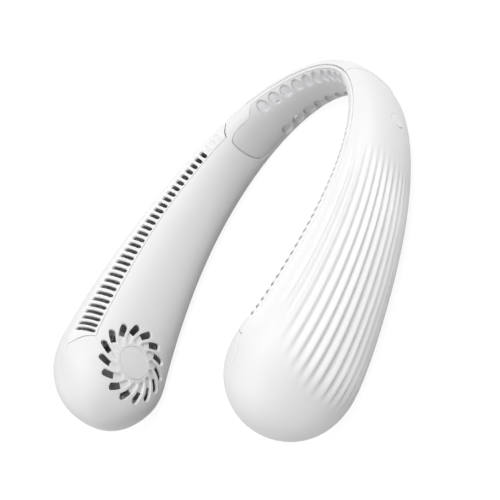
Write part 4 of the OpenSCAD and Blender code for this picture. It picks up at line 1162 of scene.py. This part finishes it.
def build_disc(form, side):
    """Bare disc in the middle of an inlet: a round plate whose rim is rolled over, with a fine
    groove inside it; each ring is a circle of one radius and height."""
    s = form.s
    roll, r = DISC_ROLL, s.disc_d / 2
    top = s.disc_t - s.disc_seat
    arc = np.linspace(0, math.pi / 2, 5)
    across = np.linspace(-1, 1, 9)
    groove = r - GROOVE_IN + GROOVE_HALF * across
    face = np.concatenate([[0], np.linspace(0.1, 0.98, 12) * groove[0], groove])
    levels = np.concatenate([np.full(13, top), top - GROOVE_DEPTH * np.cos(across * math.pi / 2)])
    radii = np.concatenate([face, r - roll + roll * np.sin(arc), [r, 0]])
    heights = np.concatenate([levels, top - roll + roll * np.cos(arc), [-s.disc_seat] * 2])
    skin = turned_skin(form, inlet_frame(form), radii, heights, -1)
    return piece(side + "_bare_disc", side + "_centre_disc", skin, side)


def turned_skin(form, frame_at, radii, heights, face, mark=None):
    """Skin of a turned piece on the surface: circles of the given radii and heights along the
    face's normal, which points along (1) or against (-1) the second axis of the frame."""
    o, axes = frame_at
    count = 96
    a = np.linspace(0, 2 * math.pi, count, endpoint=False)
    x, y = radii[:, None] * np.cos(a), radii[:, None] * np.sin(a)
    z = np.broadcast_to(heights[:, None], x.shape)
    if mark is not None:
        z = z + mark(x, y, z)
    local = np.stack([x, face * z, y], -1).reshape(-1, 3)
    points = form.stand(local @ axes.T + o)
    i, j = np.meshgrid(np.arange(len(radii) - 1) * count, np.arange(count), indexing="ij")
    n = (j + 1) % count
    faces = np.stack([i + j, i + n, i + count + n, i + count + j], -1).reshape(-1, 4)
    last = (len(radii) - 1) * count
    faces = np.where(faces < count, 0, np.where(faces >= last, last, faces))
    used, back = np.unique(faces, return_inverse=True)
    return points[used], back.reshape(faces.shape)[:, ::-face]


# Button: rounding of its crown, and the level of its foot
CROWN_ROLL = 0.0003
KEY_FOOT = -0.0022
# Mark on the button: its depth, half the width of its lines and how softly they start, the ring's
# radius and half its opening in degrees, and the stroke's ends
MARK_DEPTH = 0.00012
MARK_LINE = (0.00022, 0.00014)
MARK_RING = (0.00125, 38)
MARK_STROKE = (0.0005, 0.00175)


def build_button(form):
    """Power button: a round key with a soft crown and a shallow mark, an open ring and a stroke,
    sunk where the distance to their lines is under half their width."""
    s = form.s
    roll, r = CROWN_ROLL, s.button_d / 2
    arc = np.linspace(0, math.pi / 2, 6)
    inner = np.linspace(0.02, 0.985, 46) * (r - roll)
    radii = np.concatenate([[0], inner, r - roll + roll * np.sin(arc), [r, 0]])
    rim = s.button_proud - roll + roll * np.cos(arc)
    heights = np.concatenate([np.full(47, s.button_proud), rim, [KEY_FOOT, KEY_FOOT]])

    def mark(x, y, z):
        """Depth of the open ring and the stroke."""
        rho, angle = np.hypot(x, y), np.abs(np.degrees(np.arctan2(x, y)))
        ring = np.where(angle > MARK_RING[1], np.abs(rho - MARK_RING[0]), 1.0)
        bar = np.hypot(x, np.maximum(np.maximum(y - MARK_STROKE[1], MARK_STROKE[0] - y), 0))
        near = np.minimum(ring, bar)
        return -MARK_DEPTH * smooth((MARK_LINE[0] - near) / MARK_LINE[1]) * (z > 0)

    skin = turned_skin(form, form.frame_on(BUTTON_AT, BUTTON_TURN), radii, heights, 1, mark)
    return piece("power_key", "power_button", skin, body="button")


# Materials


class Sock:
    """A socket of a shader; sums, differences and products of it add Math nodes."""

    def __init__(self, tree, socket):
        self.tree = tree
        self.socket = socket

    def _math(self, operation, a, b):
        node = self.tree.nodes.new("ShaderNodeMath")
        node.operation = operation
        for slot_in, value in zip(node.inputs, (a, b)):
            if isinstance(value, Sock):
                self.tree.links.new(value.socket, slot_in)
            else:
                slot_in.default_value = value
        return Sock(self.tree, node.outputs[0])

    def __add__(self, other):
        return self._math("ADD", self, other)

    def __radd__(self, other):
        return self._math("ADD", other, self)

    def __sub__(self, other):
        return self._math("SUBTRACT", self, other)

    def __rsub__(self, other):
        return self._math("SUBTRACT", other, self)

    def __mul__(self, other):
        return self._math("MULTIPLY", self, other)

    def __rmul__(self, other):
        return self._math("MULTIPLY", other, self)

    def larger(self, other):
        """The larger of both values."""
        return self._math("MAXIMUM", self, other)

    @classmethod
    def of(cls, tree, kind, inputs=None, output=0, **settings):
        """Output of a new node with its settings and inputs; inputs are sockets or plain values."""
        node = tree.nodes.new(kind)
        for key, value in settings.items():
            setattr(node, key, value)
        for key, value in (inputs or {}).items():
            if isinstance(value, Sock):
                tree.links.new(value.socket, node.inputs[key])
            else:
                node.inputs[key].default_value = value
        return cls(tree, node.outputs[output]) if node.outputs else None


def blank_tree(owner):
    """Empty node tree of a material or a world."""
    owner.use_nodes = True
    owner.node_tree.nodes.clear()
    return owner.node_tree


def plastic(name, base, rough, grain=1400.0, bump=0.02, metal=0.0, ior=1.46):
    """Material with a fine moulded grain: noise on the object's coordinates moves its tone and
    roughness a little and raises a faint bump."""
    mat = bpy.data.materials.new(name)
    tree = blank_tree(mat)
    where = Sock.of(tree, "ShaderNodeTexCoord", output="Object")
    fine = Sock.of(tree, "ShaderNodeTexNoise", {"Vector": where, "Scale": grain, "Detail": 3.0})
    broad = Sock.of(tree, "ShaderNodeTexNoise", {"Vector": where, "Scale": 28.0, "Detail": 2.0})
    dark, pale = (tuple(min(c * k, 1) for c in base) + (1,) for k in (0.96, 1.016))
    tone = Sock.of(tree, "ShaderNodeMix", {0: broad, 6: dark, 7: pale}, output=2, data_type="RGBA")
    dull = rough + (fine - 0.5) * 0.12 + (broad - 0.5) * 0.08
    relief = Sock.of(tree, "ShaderNodeBump", {"Height": fine, "Strength": bump, "Distance": 0.0001})
    shader = Sock.of(tree, "ShaderNodeBsdfPrincipled", {
        "Base Color": tone, "Roughness": dull, "Normal": relief, "Metallic": metal, "IOR": ior})
    Sock.of(tree, "ShaderNodeOutputMaterial", {"Surface": shader})
    return mat


def wear(obj, mat):
    """The object in this one material."""
    obj.data.materials.clear()
    obj.data.materials.append(mat)


def dress_nodes():
    """Gives each carried-over solid a material of its own kind."""
    c = bpy.context.scene.fan_colours
    kinds = {
        "impeller": plastic("impeller_plastic", c.impeller, 0.42),
        "air_guide": plastic("guide_plastic", c.guide, 0.6),
        "magnet_ring": plastic("ferrite", (0.06, 0.06, 0.065), 0.5, metal=0.4),
        "axle": plastic("ground_steel", (0.62, 0.62, 0.63), 0.22, metal=1.0),
        "stator": plastic("copper_winding", (0.6, 0.28, 0.12), 0.35, metal=0.8),
        "bearing_tube": plastic("bearing_brass", (0.65, 0.5, 0.22), 0.3, metal=1.0),
        "motor_bracket": plastic("black_bracket_plastic", (0.03, 0.03, 0.032), 0.5),
        "battery": plastic("battery_foil", (0.55, 0.57, 0.6), 0.35, metal=0.7),
        "main_board": plastic("board_green", (0.02, 0.14, 0.06), 0.4),
        "button_switch": plastic("switch_black", (0.04, 0.04, 0.042), 0.45),
        "charging_port": plastic("port_steel", (0.6, 0.6, 0.61), 0.25, metal=1.0),
        "wiring_loom": plastic("loom_sleeve", (0.05, 0.05, 0.055), 0.6),
        "screws": plastic("screw_steel", (0.6, 0.6, 0.61), 0.3, metal=1.0),
    }
    for name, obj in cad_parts.items():
        for kind, mat in kinds.items():
            if kind in name and not obj.hide_render:
                wear(obj, mat)


# Camera and stage

# Camera's turn as an axis whose length is the angle, its place in metres and its lens in mm
CAMERA_TURN = (-0.52816, -0.86816, -0.13271)
CAMERA_AT = (0.39306, -0.21097, 0.29892)
CAMERA_LENS = 74.81
# Level of the light from all round, then the lamps: name, direction and power in watts
WORLD_LEVEL = 0.31
LAMPS = (
    ("behind", (0.45, 0.85, 0.27), 3.9),
    ("high", (0.45, 0.0, 0.9), 4.3),
    ("left", (-0.65, 0.5, 0.45), 2.8),
    ("low_left", (-0.65, -0.55, 0.5), 1.7),
    ("front", (0.3, -0.8, 0.4), 3.5),
    ("right", (0.95, 0.1, 0.2), 2.1),
)
LAMP_REACH = 1.1
LAMP_WIDTH = 0.35
LAMP_AIM = (0, 0, 0.03)
# Half the floor's side, and its level just under the fan
FLOOR_REACH = 0.9
FLOOR_LEVEL = -0.0002


def add_camera():
    """Camera fitted to the photograph: a turn about an axis whose length is the angle."""
    data = bpy.data.cameras.new("camera")
    data.lens = CAMERA_LENS
    data.sensor_width = 36
    data.clip_start = 0.01
    data.clip_end = 20
    cam = bpy.data.objects.new("camera", data)
    turn = Vector(CAMERA_TURN)
    look = Matrix.Rotation(turn.length, 3, turn.normalized())
    cam.matrix_world = Matrix.Translation(CAMERA_AT) @ look.transposed().to_4x4()
    bpy.context.scene.collection.objects.link(cam)
    bpy.context.scene.camera = cam


def add_lamp(name, place, power):
    """Soft round lamp that looks at the fan."""
    data = bpy.data.lights.new(name, "AREA")
    data.shape = "DISK"
    data.size = LAMP_WIDTH
    data.energy = power
    lamp = bpy.data.objects.new(name, data)
    lamp.location = place
    lamp.rotation_mode = "QUATERNION"
    lamp.rotation_quaternion = (Vector(LAMP_AIM) - place).to_track_quat("-Z", "Y")
    bpy.context.scene.collection.objects.link(lamp)


def seen_share(tree):
    """1 for the rays of the camera, of reflections and of transmission, 0 for the others."""
    camera, glossy, through = (Sock.of(tree, "ShaderNodeLightPath", output=f"Is {kind} Ray")
                               for kind in ("Camera", "Glossy", "Transmission"))
    return camera.larger(glossy).larger(through)


def add_floor(white):
    """Level grid that shows near white, bounces little light and keeps the fan's shadow."""
    line = np.array([-FLOOR_REACH, 0, FLOOR_REACH])
    points = np.stack([np.repeat(line, 3), np.tile(line, 3), np.full(9, FLOOR_LEVEL)], -1)
    base = np.array([0, 1, 3, 4])
    faces = np.stack([base, base + 3, base + 4, base + 1], -1)
    mesh = bpy.data.meshes.new("floor")
    mesh.from_pydata(points.tolist(), [], faces.tolist())
    floor = bpy.data.objects.new("floor", mesh)
    bpy.context.scene.collection.objects.link(floor)
    mat = bpy.data.materials.new("floor_white")
    tree = blank_tree(mat)
    plain = Sock.of(tree, "ShaderNodeBsdfDiffuse", {"Color": (0.25, 0.25, 0.25, 1)})
    faint = Sock.of(tree, "ShaderNodeBsdfDiffuse", {"Color": (0.16, 0.16, 0.16, 1)})
    glow = Sock.of(tree, "ShaderNodeEmission", {"Color": white, "Strength": 0.9})
    shown = Sock.of(tree, "ShaderNodeAddShader", {0: faint, 1: glow})
    both = Sock.of(tree, "ShaderNodeMixShader", {0: seen_share(tree), 1: plain, 2: shown})
    Sock.of(tree, "ShaderNodeOutputMaterial", {"Surface": both})
    wear(floor, mat)


def add_surround(white):
    """World that shows white and lights the fan softly."""
    world = bpy.data.worlds.new("surround")
    bpy.context.scene.world = world
    tree = blank_tree(world)
    dim = Sock.of(tree, "ShaderNodeBackground", {"Color": (1, 1, 1, 1), "Strength": WORLD_LEVEL})
    shown = Sock.of(tree, "ShaderNodeBackground", {"Color": white, "Strength": 1.0})
    both = Sock.of(tree, "ShaderNodeMixShader", {0: seen_share(tree), 1: dim, 2: shown})
    Sock.of(tree, "ShaderNodeOutputWorld", {"Surface": both})


def add_stage():
    """Pale floor, a surround that shows white but lights the fan softly, and soft lamps."""
    scene = bpy.context.scene
    scene.view_settings.view_transform = "Standard"
    white = tuple(scene.fan_colours.backdrop) + (1,)
    add_floor(white)
    add_surround(white)
    for name, place, power in LAMPS:
        add_lamp(name, Vector(place).normalized() * LAMP_REACH, power)


# Operators and panel

_made = {}


def shaped():
    """The form, worked out once for all pieces, with the materials that they share."""
    if "form" not in _made:
        _made["form"] = Form(bpy.context.scene.fan_sizes)
        c = bpy.context.scene.fan_colours
        _made["shell"] = plastic("white_shell_plastic", c.shell, 0.5, ior=1.38)
        _made["trim"] = plastic("white_trim_plastic", c.trim, 0.5, ior=1.38)
        _made["pad"] = plastic("pad_silicone", c.pad, 0.55, grain=2400.0, bump=0.05)
    return _made["form"]


class NECKFAN_OT_outer_shells(bpy.types.Operator):
    """Build both ribbed outer shells"""

    bl_idname = "neckfan.outer_shells"
    bl_label = "Outer shells"

    def execute(self, context):
        form = shaped()
        for side in SIDES:
            wear(build_outer_shell(form, side), _made["shell"])
        return {"FINISHED"}


class NECKFAN_OT_inner_shell(bpy.types.Operator):
    """Build the inner shell with its spiral inlets"""

    bl_idname = "neckfan.inner_shell"
    bl_label = "Inner shell"

    def execute(self, context):
        wear(build_inner_shell(shaped()), _made["shell"])
        return {"FINISHED"}


class NECKFAN_OT_vent_strips(bpy.types.Operator):
    """Build both slotted vent strips"""

    bl_idname = "neckfan.vent_strips"
    bl_label = "Vent strips"

    def execute(self, context):
        form = shaped()
        for side in SIDES:
            wear(build_vent_strip(form, side), _made["trim"])
        return {"FINISHED"}


class NECKFAN_OT_neck_cover(bpy.types.Operator):
    """Build the cover at the back of the neck"""

    bl_idname = "neckfan.neck_cover"
    bl_label = "Neck cover"

    def execute(self, context):
        wear(build_neck_cover(shaped()), _made["shell"])
        return {"FINISHED"}


class NECKFAN_OT_neck_pad(bpy.types.Operator):
    """Build the dimpled neck pad"""

    bl_idname = "neckfan.neck_pad"
    bl_label = "Neck pad"

    def execute(self, context):
        wear(build_neck_pad(shaped()), _made["pad"])
        return {"FINISHED"}


class NECKFAN_OT_discs(bpy.types.Operator):
    """Build the bare discs in the inlets"""

    bl_idname = "neckfan.discs"
    bl_label = "Centre discs"

    def execute(self, context):
        form = shaped()
        for side in SIDES:
            wear(build_disc(form, side), _made["trim"])
        return {"FINISHED"}


class NECKFAN_OT_button(bpy.types.Operator):
    """Build the power button"""

    bl_idname = "neckfan.button"
    bl_label = "Power button"

    def execute(self, context):
        wear(build_button(shaped()), _made["trim"])
        return {"FINISHED"}


class NECKFAN_OT_inner_parts(bpy.types.Operator):
    """Give the solids inside the housing their materials"""

    bl_idname = "neckfan.inner_parts"
    bl_label = "Inner parts"

    def execute(self, context):
        dress_nodes()
        return {"FINISHED"}


class NECKFAN_OT_stage(bpy.types.Operator):
    """Set up the floor, the lamps and the camera"""

    bl_idname = "neckfan.stage"
    bl_label = "Stage"

    def execute(self, context):
        add_stage()
        add_camera()
        return {"FINISHED"}


STEPS = (
    NECKFAN_OT_outer_shells,
    NECKFAN_OT_inner_shell,
    NECKFAN_OT_vent_strips,
    NECKFAN_OT_neck_cover,
    NECKFAN_OT_neck_pad,
    NECKFAN_OT_discs,
    NECKFAN_OT_button,
    NECKFAN_OT_inner_parts,
    NECKFAN_OT_stage,
)


class NECKFAN_PT_panel(bpy.types.Panel):
    """Lists the steps that dress the fan"""

    bl_idname = "NECKFAN_PT_panel"
    bl_label = "Neck Fan"
    bl_space_type = "VIEW_3D"
    bl_region_type = "UI"
    bl_category = "Neck Fan"

    def draw(self, context):
        for step in STEPS:
            self.layout.operator(step.bl_idname)


CLASSES = (FanSizes, FanColours) + STEPS + (NECKFAN_PT_panel,)


def register():
    for cls in CLASSES:
        bpy.utils.register_class(cls)
    bpy.types.Scene.fan_sizes = PointerProperty(type=FanSizes)
    bpy.types.Scene.fan_colours = PointerProperty(type=FanColours)


def unregister():
    del bpy.types.Scene.fan_colours
    del bpy.types.Scene.fan_sizes
    for cls in reversed(CLASSES):
        bpy.utils.unregister_class(cls)


def main():
    register()
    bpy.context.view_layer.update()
    for step in STEPS:
        group, name = step.bl_idname.split(".")
        getattr(getattr(bpy.ops, group), name)()


if __name__ == "__main__":
    main()
